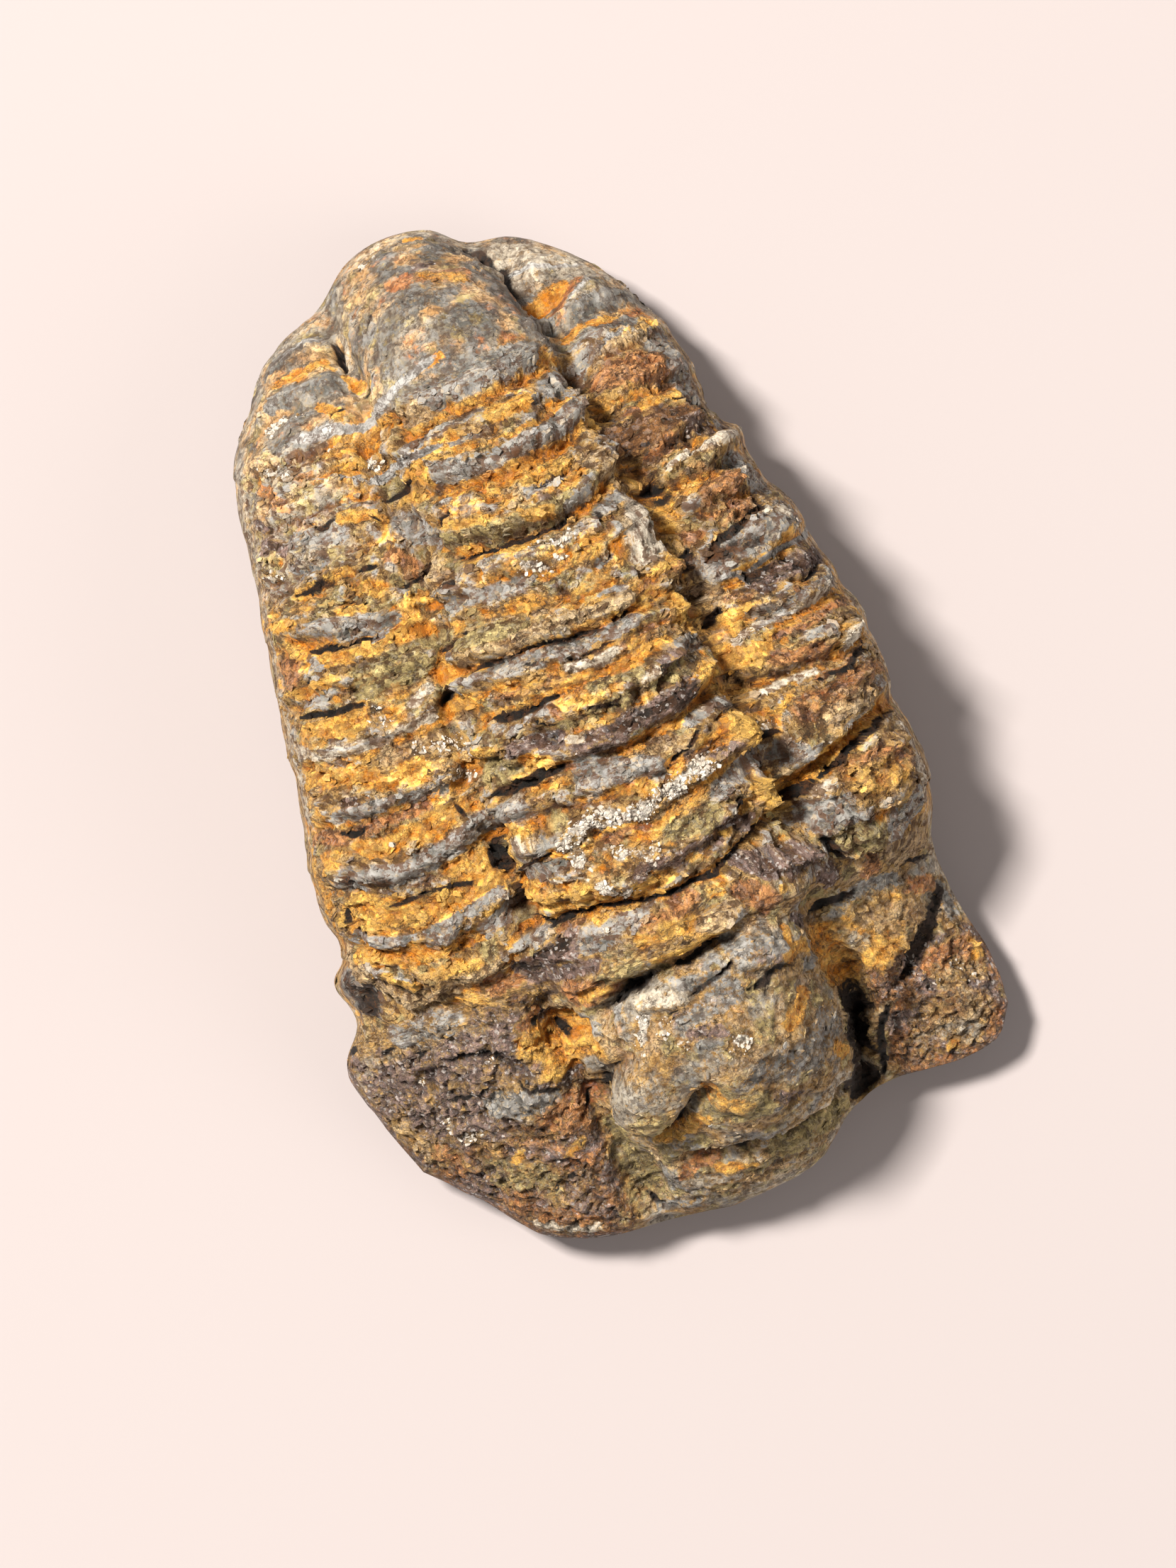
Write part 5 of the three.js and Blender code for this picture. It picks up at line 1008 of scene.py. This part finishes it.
# Iron-stained limestone. Each stain has a deep and a light tone and a ragged edge, and the surface is
# broken into flat chips that each catch the light their own way.
TONES = [  # stain, deep tone, light tone
    ("grey", "#5C5449", "#A8A090"), ("tan", "#A67E4E", "#E4C696"), ("brown", "#3E2410", "#A57444"),
    ("olive", "#786840", "#CCB87E"), ("slate", "#45443F", "#8F8D88"), ("purple", "#35241F", "#A48A80"),
    ("rust", "#8E5024", "#DA9C62"), ("ochre", "#CC7C12", "#FFCB66"), ("pale", "#8E8474", "#C8BFAE"),
    # near-black painted shade, then the calcite veins, then the painted shade inside the cracks
    ("calcite", "#A89F90", "#E0DACF"), ("painted_shade", "#0D0804", "#26170A"), ("vein", "#8E8D8A", "#BCBAB6"),
    ("painted_crack_shade", "#080502", "#140B05"),
]
PER_MM = 1 / MM  # object coordinates are in metres
HALF = (0.5, 0.5, 0.5)  # the mean of a random colour
CHIP_LIFT = 0.25  # how much some chips stand above others, as a share of their size
SPECK_EDGE = 0.06  # how soft a speck's edge is


def chipped(tree, vector, size):
    """Flat chips about one size across, tilted at random: their height, and a random colour for each."""
    near = add(tree, "ShaderNodeVectorMath", {0: vector, "Scale": 1 / size}, operation="SCALE").outputs[0]
    chip = add(tree, "ShaderNodeTexVoronoi", {"Vector": near, "Scale": 1.0}).outputs
    tilt = add(tree, "ShaderNodeVectorMath", {0: chip["Color"], 1: HALF}, operation="SUBTRACT").outputs[0]
    across = add(tree, "ShaderNodeVectorMath", {0: near, 1: chip["Position"]},
                 operation="SUBTRACT").outputs[0]
    slope = add(tree, "ShaderNodeVectorMath", {0: tilt, 1: across}, operation="DOT_PRODUCT")
    chance = add(tree, "ShaderNodeSeparateColor", {"Color": chip["Color"]}).outputs
    height = add(tree, "ShaderNodeMath", {0: chance[1], 1: CHIP_LIFT, 2: slope.outputs["Value"]},
                 operation="MULTIPLY_ADD").outputs[0]
    return add(tree, "ShaderNodeMath", {0: height, 1: size}, operation="MULTIPLY").outputs[0], chance


limestone = bpy.data.materials.new("iron_stained_limestone")
limestone.use_nodes = True
tree = limestone.node_tree
tree.nodes.clear()
place = add(tree, "ShaderNodeTexCoord").outputs["Object"]
place_mm = add(tree, "ShaderNodeVectorMath", {0: place, "Scale": PER_MM}, operation="SCALE").outputs[0]
layers = add(tree, "ShaderNodeAttribute", attribute_name="layers").outputs["Vector"]
banded, wear_and_hollow_shade, calm = (
    add(tree, "ShaderNodeAttribute", attribute_name=name).outputs["Fac"]
    for name in ("banded", "wear_and_hollow_shade", "calm")
)
streaks = add(tree, "ShaderNodeVectorMath", {0: layers, 1: (2, 1, 1.1)}, operation="MULTIPLY").outputs[0]
channels = []
for size in (1.3, 0.9, 0.6):  # mm, the size of the raggedness at a stain's edge
    loose = add(tree, "ShaderNodeTexNoise",
                {"Vector": place_mm, "Scale": 1 / size, "Detail": 6, "Roughness": 0.7}).outputs["Color"]
    along = add(tree, "ShaderNodeTexNoise",
                {"Vector": streaks, "Scale": 1 / size, "Detail": 6, "Roughness": 0.7}).outputs["Color"]
    both = add(tree, "ShaderNodeMix", {0: banded, 6: loose, 7: along}, data_type="RGBA").outputs[2]
    channels += add(tree, "ShaderNodeSeparateColor", {"Color": both}).outputs[:3]
speckle = add(tree, "ShaderNodeTexNoise",
              {"Vector": place_mm, "Scale": 1 / 0.3, "Detail": 5, "Roughness": 0.75}).outputs["Color"]
speckles = add(tree, "ShaderNodeSeparateColor", {"Color": speckle}).outputs

# The chips are longer along the layers, and their outlines are ragged.
spread = add(tree, "ShaderNodeVectorMath", {0: layers, 1: (3.4, 1, 1.4)}, operation="MULTIPLY").outputs[0]
spread = add(tree, "ShaderNodeMix", {0: banded, 4: place_mm, 5: spread}, data_type="VECTOR").outputs[1]
spread = add(tree, "ShaderNodeVectorMath", {0: speckle, 1: HALF, 2: spread},
             operation="MULTIPLY_ADD").outputs[0]
large, large_chip = chipped(tree, spread, 0.5)
small, small_chip = chipped(tree, spread, 0.17)
grit = add(tree, "ShaderNodeTexNoise",
           {"Vector": place_mm, "Scale": 1 / 0.1, "Detail": 2, "Roughness": 0.6}).outputs[0]
relief = add(tree, "ShaderNodeMath", {0: small, 1: 1.6, 2: large}, operation="MULTIPLY_ADD").outputs[0]
relief = add(tree, "ShaderNodeMath", {0: grit, 1: 0.12, 2: relief}, operation="MULTIPLY_ADD").outputs[0]

# The tail shield and the glabella are calmer: their chips and specks are fainter.
lively = add(tree, "ShaderNodeMapRange", {"Value": calm, "To Min": 1, "To Max": 0.45}).outputs[0]
fine = add(tree, "ShaderNodeMath", {0: small_chip[2], 1: large_chip[2]}, operation="ADD").outputs[0]
fine = add(tree, "ShaderNodeMath", {0: speckles[0], 1: 4.4, 2: fine}, operation="MULTIPLY_ADD").outputs[0]
fine = add(tree, "ShaderNodeMath", {0: fine, 1: -3.2}, operation="ADD").outputs[0]  # about its mean
fine = add(tree, "ShaderNodeMath", {0: fine, 1: lively}, operation="MULTIPLY").outputs[0]
# The stains take their deeper tones in the hollows, as painted shade, and vary with the chips as wear.
tone = add(tree, "ShaderNodeMath", {0: fine, 1: 0.25, 2: wear_and_hollow_shade}, operation="MULTIPLY_ADD").outputs[0]
tone = add(tree, "ShaderNodeMath", {0: channels[4], 1: 1.6, 2: tone}, operation="MULTIPLY_ADD").outputs[0]
tone = add(tree, "ShaderNodeMapRange", {"Value": tone, "From Min": 0.8, "From Max": 1.75}).outputs[0]
colour = add(tree, "ShaderNodeMix", {0: tone, 6: tint("#7E5B2D"), 7: tint("#D8AE69")},
             data_type="RGBA").outputs[2]
weights = {}
for n, (stain, deep, light) in enumerate(TONES):
    if stain == "pale":
        # Single crystals and specks of clay, grey, tan and red, show all over, but less in the powder.
        clean = add(tree, "ShaderNodeMapRange",
                    {"Value": weights["ochre"], "To Min": 1, "To Max": 0.45}).outputs[0]
        for chance, edge, amount, speck in (
            (small_chip[1], 0.72, 0.24, "#A9A9AC"), (small_chip[0], 0.8, 0.2, "#E8C892"),
            (speckles[2], 0.6, 0.25, "#6E4438"),
        ):
            sockets = {"Value": chance, "From Min": edge, "From Max": edge + SPECK_EDGE, "To Max": amount}
            shows = add(tree, "ShaderNodeMapRange", sockets).outputs[0]
            shows = add(tree, "ShaderNodeMath", {0: shows, 1: clean}, operation="MULTIPLY").outputs[0]
            shows = add(tree, "ShaderNodeMath", {0: shows, 1: lively}, operation="MULTIPLY").outputs[0]
            colour = add(tree, "ShaderNodeMix", {0: shows, 6: colour, 7: tint(speck)},
                         data_type="RGBA").outputs[2]
    weight = add(tree, "ShaderNodeAttribute", attribute_name=stain).outputs["Fac"]
    if stain in ("vein", "painted_crack_shade"):
        # These are thin lines with an edge at 0.5, only a little ragged.
        held = add(tree, "ShaderNodeMath", {0: speckles[n % 3], 1: 0.2, 2: weight},
                   operation="MULTIPLY_ADD").outputs[0]
        cover = add(tree, "ShaderNodeMapRange",
                    {"Value": held, "From Min": 0.55, "From Max": 0.62}).outputs[0]
    else:
        torn = -1.35
        for draw, share in ((channels[n % 9], 3.4), (speckles[n % 3], 0.9), (small_chip[n % 3], 0.4)):
            torn = add(tree, "ShaderNodeMath", {0: draw, 1: share, 2: torn},
                       operation="MULTIPLY_ADD").outputs[0]
        held = add(tree, "ShaderNodeMath", {0: weight, 1: torn}, operation="MULTIPLY").outputs[0]
        cover = add(tree, "ShaderNodeMapRange", {"Value": held, "From Min": 0.25, "From Max": 0.6},
                    interpolation_type="SMOOTHSTEP").outputs[0]
    own = add(tree, "ShaderNodeMix", {0: tone, 6: tint(deep), 7: tint(light)},
              data_type="RGBA").outputs[2]
    colour = add(tree, "ShaderNodeMix", {0: cover, 6: colour, 7: own}, data_type="RGBA").outputs[2]
    weights[stain] = cover

# Dirt and painted shade darken the low places between the chips, less where the yellow powder has filled
# the gaps.
dirt_and_crevice_shade = add(tree, "ShaderNodeMapRange", {"Value": relief, "From Max": 0.19, "To Min": 0.85, "To Max": 0},
           interpolation_type="SMOOTHSTEP").outputs[0]
less = add(tree, "ShaderNodeMapRange", {"Value": banded, "To Min": 0.68}).outputs[0]
dirt_and_crevice_shade = add(tree, "ShaderNodeMath", {0: dirt_and_crevice_shade, 1: less}, operation="MULTIPLY").outputs[0]
unfilled = add(tree, "ShaderNodeMapRange",
               {"Value": weights["ochre"], "To Min": 1, "To Max": 0.6}).outputs[0]
dirt_and_crevice_shade = add(tree, "ShaderNodeMath", {0: dirt_and_crevice_shade, 1: unfilled}, operation="MULTIPLY").outputs[0]
dirt_and_shade_tone = add(tree, "ShaderNodeMix", {0: banded, 6: tint("#2E2016"), 7: tint("#4A2A0C")},
           data_type="RGBA").outputs[2]
colour = add(tree, "ShaderNodeMix", {0: dirt_and_crevice_shade, 6: colour, 7: dirt_and_shade_tone}, data_type="RGBA").outputs[2]
# Hairline cracks run between some of the chips: their insides are painted dark as shade.
painted_seam_shade = add(tree, "ShaderNodeTexVoronoi", {"Vector": spread, "Scale": 1 / 0.42},
           feature="DISTANCE_TO_EDGE").outputs[0]
painted_seam_shade = add(tree, "ShaderNodeMapRange", {"Value": painted_seam_shade, "From Max": 0.08, "To Min": 0.85, "To Max": 0},
           interpolation_type="SMOOTHSTEP").outputs[0]
open_seam_shade = add(tree, "ShaderNodeMapRange",
                {"Value": channels[1], "From Min": 0.47, "From Max": 0.56}).outputs[0]
painted_seam_shade = add(tree, "ShaderNodeMath", {0: painted_seam_shade, 1: open_seam_shade}, operation="MULTIPLY").outputs[0]
colour = add(tree, "ShaderNodeMix", {0: painted_seam_shade, 6: colour, 7: tint("#1C130B")}, data_type="RGBA").outputs[2]
# The bare shell's chips are fainter.
bare_shell = add(tree, "ShaderNodeMath", {0: weights["slate"], 1: weights["pale"]},
                 operation="MAXIMUM").outputs[0]
bare_shell = add(tree, "ShaderNodeMath", {0: weights["grey"], 1: 0.7, 2: bare_shell},
                 operation="MULTIPLY_ADD", use_clamp=True).outputs[0]
bumped = add(tree, "ShaderNodeMapRange", {"Value": bare_shell, "To Min": 1, "To Max": 0.4}).outputs[0]
calmer = add(tree, "ShaderNodeMapRange", {"Value": calm, "To Min": 1, "To Max": 0.7}).outputs[0]
bumped = add(tree, "ShaderNodeMath", {0: bumped, 1: calmer}, operation="MULTIPLY").outputs[0]
bump = add(tree, "ShaderNodeBump", {"Height": relief, "Strength": bumped, "Distance": MM}).outputs[0]
# Crystal faces in the calcite and the bare rock, one in eleven and about 0.2 mm wide, are glossier and
# get a painted glint: a paler colour that stands for the light they catch.
face = add(tree, "ShaderNodeTexVoronoi", {"Vector": place_mm, "Scale": 1 / 0.18}).outputs["Color"]
face = add(tree, "ShaderNodeSeparateColor", {"Color": face}).outputs[0]
glint = add(tree, "ShaderNodeMath", {0: face, 1: 0.91}, operation="GREATER_THAN").outputs[0]
rocky = add(tree, "ShaderNodeMath", {0: weights["purple"], 1: weights["calcite"]},
            operation="MAXIMUM").outputs[0]
glint = add(tree, "ShaderNodeMath", {0: glint, 1: rocky}, operation="MULTIPLY").outputs[0]
painted_glint = add(tree, "ShaderNodeMath", {0: glint, 1: 0.5}, operation="MULTIPLY").outputs[0]
colour = add(tree, "ShaderNodeMix", {0: painted_glint, 6: colour, 7: tint("#E4DDD8")},
             data_type="RGBA").outputs[2]
roughness = add(tree, "ShaderNodeMapRange", {"Value": glint, "To Min": 0.72, "To Max": 0.3}).outputs[0]
finish = {"Base Color": colour, "Roughness": roughness, "Normal": bump, "Specular IOR Level": 0.4}
shader = add(tree, "ShaderNodeBsdfPrincipled", finish)
add(tree, "ShaderNodeOutputMaterial", {"Surface": shader.outputs[0]})
body_mesh.materials.append(limestone)

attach(body, "root")
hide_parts("trilobite_fossil")

# ==================================================================== Loose flakes of the crust
# The weathered crust comes away in small angular flakes that still lie where they broke, mostly along the
# ribs. Each is limestone with the stain of the spot that it lies on.
strewn = bpy.data.node_groups.new("strewn_grains", "GeometryNodeTree")
SOCKETS = {}
for name, kind in (
    ("Surface", "Geometry"), ("Mask", "String"), ("Grains per mm2", "Float"), ("Shortest", "Float"),
    ("Longest", "Float"), ("Width", "Float"), ("Thickness", "Float"), ("Lean", "Float"), ("Turn", "Float"),
    ("Raggedness", "Float"), ("Seed", "Int"), ("Material", "Material"),
):
    socket = strewn.interface.new_socket(name, in_out="INPUT", socket_type="NodeSocket" + kind)
    SOCKETS[name] = socket.identifier
strewn.interface.new_socket("Grains", in_out="OUTPUT", socket_type="NodeSocketGeometry")
given = add(strewn, "NodeGroupInput").outputs
mask = add(strewn, "GeometryNodeInputNamedAttribute", {"Name": given["Mask"]},
           data_type="FLOAT").outputs[0]
density = add(strewn, "ShaderNodeMath", {0: mask, 1: given["Grains per mm2"]},
              operation="MULTIPLY").outputs[0]
# The node takes a density per square metre.
density = add(strewn, "ShaderNodeMath", {0: density, 1: PER_MM**2}, operation="MULTIPLY").outputs[0]
places = {"Mesh": given["Surface"], "Density": density, "Seed": given["Seed"]}
points = add(strewn, "GeometryNodeDistributePointsOnFaces", places).outputs

# A grain lies flat and along the ribs, but for its lean and turn.
flat = add(strewn, "FunctionNodeAlignRotationToVector", {"Vector": points["Normal"]}, axis="Z").outputs[0]
along_rib = add(strewn, "FunctionNodeAlignRotationToVector", {"Rotation": flat, "Vector": (1, 0, 0)},
                axis="X", pivot_axis="Z").outputs[0]
tilts = {0: given["Lean"], 1: given["Lean"], 2: given["Turn"]}
most = add(strewn, "ShaderNodeCombineXYZ", tilts).outputs[0]
least = add(strewn, "ShaderNodeVectorMath", {0: most, 1: (-1, -1, -1)}, operation="MULTIPLY").outputs[0]
turn = add(strewn, "FunctionNodeRandomValue", {0: least, 1: most, 8: given["Seed"]},
           data_type="FLOAT_VECTOR").outputs[0]
turn = add(strewn, "FunctionNodeEulerToRotation", {0: turn}).outputs[0]
turned = {0: along_rib, 1: turn}
lying = add(strewn, "FunctionNodeRotateRotation", turned, rotation_space="LOCAL").outputs[0]

# Most grains are small, and each is longer, wider or thicker than the next.
chance = add(strewn, "FunctionNodeRandomValue", {2: 0.0, 3: 1.0, 8: 5}, data_type="FLOAT").outputs[1]
chance = add(strewn, "ShaderNodeMath", {0: chance, 1: 2.0}, operation="POWER").outputs[0]
length = add(strewn, "ShaderNodeMapRange",
             {"Value": chance, "To Min": given["Shortest"], "To Max": given["Longest"]}).outputs[0]
length = add(strewn, "ShaderNodeMath", {0: length, 1: MM}, operation="MULTIPLY").outputs[0]
shape = add(strewn, "ShaderNodeCombineXYZ", {0: 1.0, 1: given["Width"], 2: given["Thickness"]}).outputs[0]
vary = add(strewn, "FunctionNodeRandomValue", {0: (0.7, 0.6, 0.6), 1: (1.3, 1.4, 1.4), 8: 9},
           data_type="FLOAT_VECTOR").outputs[0]
shape = add(strewn, "ShaderNodeVectorMath", {0: shape, 1: vary}, operation="MULTIPLY").outputs[0]
shape = add(strewn, "ShaderNodeVectorMath", {0: shape, "Scale": length}, operation="SCALE").outputs[0]
block = {"Vertices": 5, "Radius": 0.5, "Depth": 1.0}
block = add(strewn, "GeometryNodeMeshCylinder", block, fill_type="NGON").outputs[0]
laid = {"Points": points["Points"], "Instance": block, "Rotation": lying, "Scale": shape}
blocks = add(strewn, "GeometryNodeInstanceOnPoints", laid).outputs[0]
blocks = add(strewn, "GeometryNodeRealizeInstances", {0: blocks}).outputs[0]

# Noise moves the corners, so that no two grains are alike.
ragged = add(strewn, "ShaderNodeTexNoise", {"Scale": PER_MM / 0.35, "Detail": 1.0}).outputs["Color"]
ragged = add(strewn, "ShaderNodeVectorMath", {0: ragged, 1: HALF}, operation="SUBTRACT").outputs[0]
push = add(strewn, "ShaderNodeMath", {0: given["Raggedness"], 1: MM}, operation="MULTIPLY").outputs[0]
ragged = add(strewn, "ShaderNodeVectorMath", {0: ragged, "Scale": push}, operation="SCALE").outputs[0]
blocks = add(strewn, "GeometryNodeSetPosition", {"Geometry": blocks, "Offset": ragged}).outputs[0]
coated = {"Geometry": blocks, "Material": given["Material"]}
blocks = add(strewn, "GeometryNodeSetMaterial", coated).outputs[0]
add(strewn, "NodeGroupOutput", {"Grains": blocks})


def strew(name, material, **sizes):
    """Makes a piece of grains strewn on the stone: lengths in mm, width and thickness as shares of them."""
    holder = bpy.data.objects.new(name + "_points", body_mesh)
    bpy.context.scene.collection.objects.link(holder)
    maker = holder.modifiers.new("grains", "NODES")
    maker.node_group = strewn
    for key, value in sizes.items():
        maker[SOCKETS[key.replace("_", " ")]] = value
    maker[SOCKETS["Material"]] = material
    bpy.context.view_layer.update()
    depsgraph = bpy.context.evaluated_depsgraph_get()
    seen = holder.evaluated_get(depsgraph)
    mesh = bpy.data.meshes.new_from_object(seen, preserve_all_data_layers=True, depsgraph=depsgraph)
    grains = bpy.data.objects.new(name, mesh)
    holder.modifiers.remove(maker)
    bpy.data.objects.remove(holder)
    bpy.context.scene.collection.objects.link(grains)
    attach(grains, "root")


strew("crust_flakes", limestone, Mask="crumbly", Grains_per_mm2=5.0, Shortest=0.14, Longest=0.7, Width=0.6,
      Thickness=0.14, Lean=0.35, Turn=0.9, Raggedness=0.45, Seed=3)

# ==================================================================== Calcite crystals
# Where the shell has dissolved, white calcite has grown as beds and veins of small blocky crystals.
# Calcite is milky, with a soft gloss on its faces, and clay between the crystals dulls it in places.
calcite = bpy.data.materials.new("calcite_crystal")
calcite.use_nodes = True
tree = calcite.node_tree
tree.nodes.clear()
place = add(tree, "ShaderNodeTexCoord").outputs["Object"]
cloud = add(tree, "ShaderNodeTexNoise", {"Vector": place, "Scale": PER_MM / 0.7, "Detail": 3}).outputs[0]
colour = add(tree, "ShaderNodeMix", {0: cloud, 6: tint("#8C8276"), 7: tint("#DAD2C6")},
             data_type="RGBA").outputs[2]
shader = add(tree, "ShaderNodeBsdfPrincipled", {"Base Color": colour, "Roughness": 0.45})
add(tree, "ShaderNodeOutputMaterial", {"Surface": shader.outputs[0]})
strew("calcite_crystals", calcite, Mask="calcite", Grains_per_mm2=45.0, Shortest=0.08, Longest=0.42,
      Width=0.6, Thickness=0.35, Lean=1.2, Turn=3.0, Raggedness=0.15, Seed=11)

# ==================================================================== Floor, light and camera
# A pale matt sheet with soft light from the left of the tail, and the camera straight above.
HALF_FLOOR = 1.5  # m
floor_mesh = bpy.data.meshes.new("floor")
floor_corners = [(-HALF_FLOOR, -HALF_FLOOR, 0), (HALF_FLOOR, -HALF_FLOOR, 0)]
floor_corners += [(HALF_FLOOR, HALF_FLOOR, 0), (-HALF_FLOOR, HALF_FLOOR, 0)]
floor_mesh.from_pydata(floor_corners, [], [(0, 1, 2, 3)])
floor = bpy.data.objects.new("floor", floor_mesh)
bpy.context.scene.collection.objects.link(floor)
# Pale paper is fully matt, so it gives an even tone and a soft shadow.
paper = bpy.data.materials.new("pale_paper")
paper.use_nodes = True
sheet = paper.node_tree.nodes["Principled BSDF"]
sheet.inputs["Base Color"].default_value = tint("#9D9697")
sheet.inputs["Roughness"].default_value = 0.9
floor_mesh.materials.append(paper)

world = bpy.data.worlds.new("studio")
world.use_nodes = True
sky = world.node_tree.nodes["Background"]
sky.inputs["Color"].default_value = tint("#FFF6F0")
sky.inputs["Strength"].default_value = 0.36
bpy.context.scene.world = world

for name, spot, size, power in (
    ("key", (-0.33, 0.44, 1.0), 0.18, 34),
    ("fill", (0.7, -0.6, 0.7), 0.8, 5.0),
):
    lamp = bpy.data.lights.new(name, "AREA")
    lamp.size = size
    lamp.energy = power
    lamp.color = (1, 0.94, 0.86)
    lamp_object = bpy.data.objects.new(name, lamp)
    lamp_object.location = spot
    lamp_object.rotation_mode = "QUATERNION"
    lamp_object.rotation_quaternion = (-Vector(spot)).to_track_quat("-Z", "Y")
    bpy.context.scene.collection.objects.link(lamp_object)

VIEW_CENTRE = (0.14, -4.08)  # mm, the plan point in the middle of the view
VIEW_UP = (0.3665, 0.9304)  # plan direction that points up in the view
VIEW_HALF = 46.27  # mm, from the middle to the top of the view
VIEW_LEVEL = 8  # mm, the height at which VIEW_HALF holds
DISTANCE = 800
camera = bpy.data.cameras.new("camera")
camera.sensor_width = 36
camera.lens = camera.sensor_width / 2 * (DISTANCE - VIEW_LEVEL) / VIEW_HALF
camera.clip_start = 0.01
camera.clip_end = 10
eye = bpy.data.objects.new("camera", camera)
eye.location = [(VIEW_CENTRE[n] + shift[n]) * MM for n in (0, 1)] + [DISTANCE * MM]
eye.rotation_euler = (0, 0, math.atan2(-VIEW_UP[0], VIEW_UP[1]))
bpy.context.scene.collection.objects.link(eye)
bpy.context.scene.camera = eye
bpy.context.scene.view_settings.view_transform = "Standard"
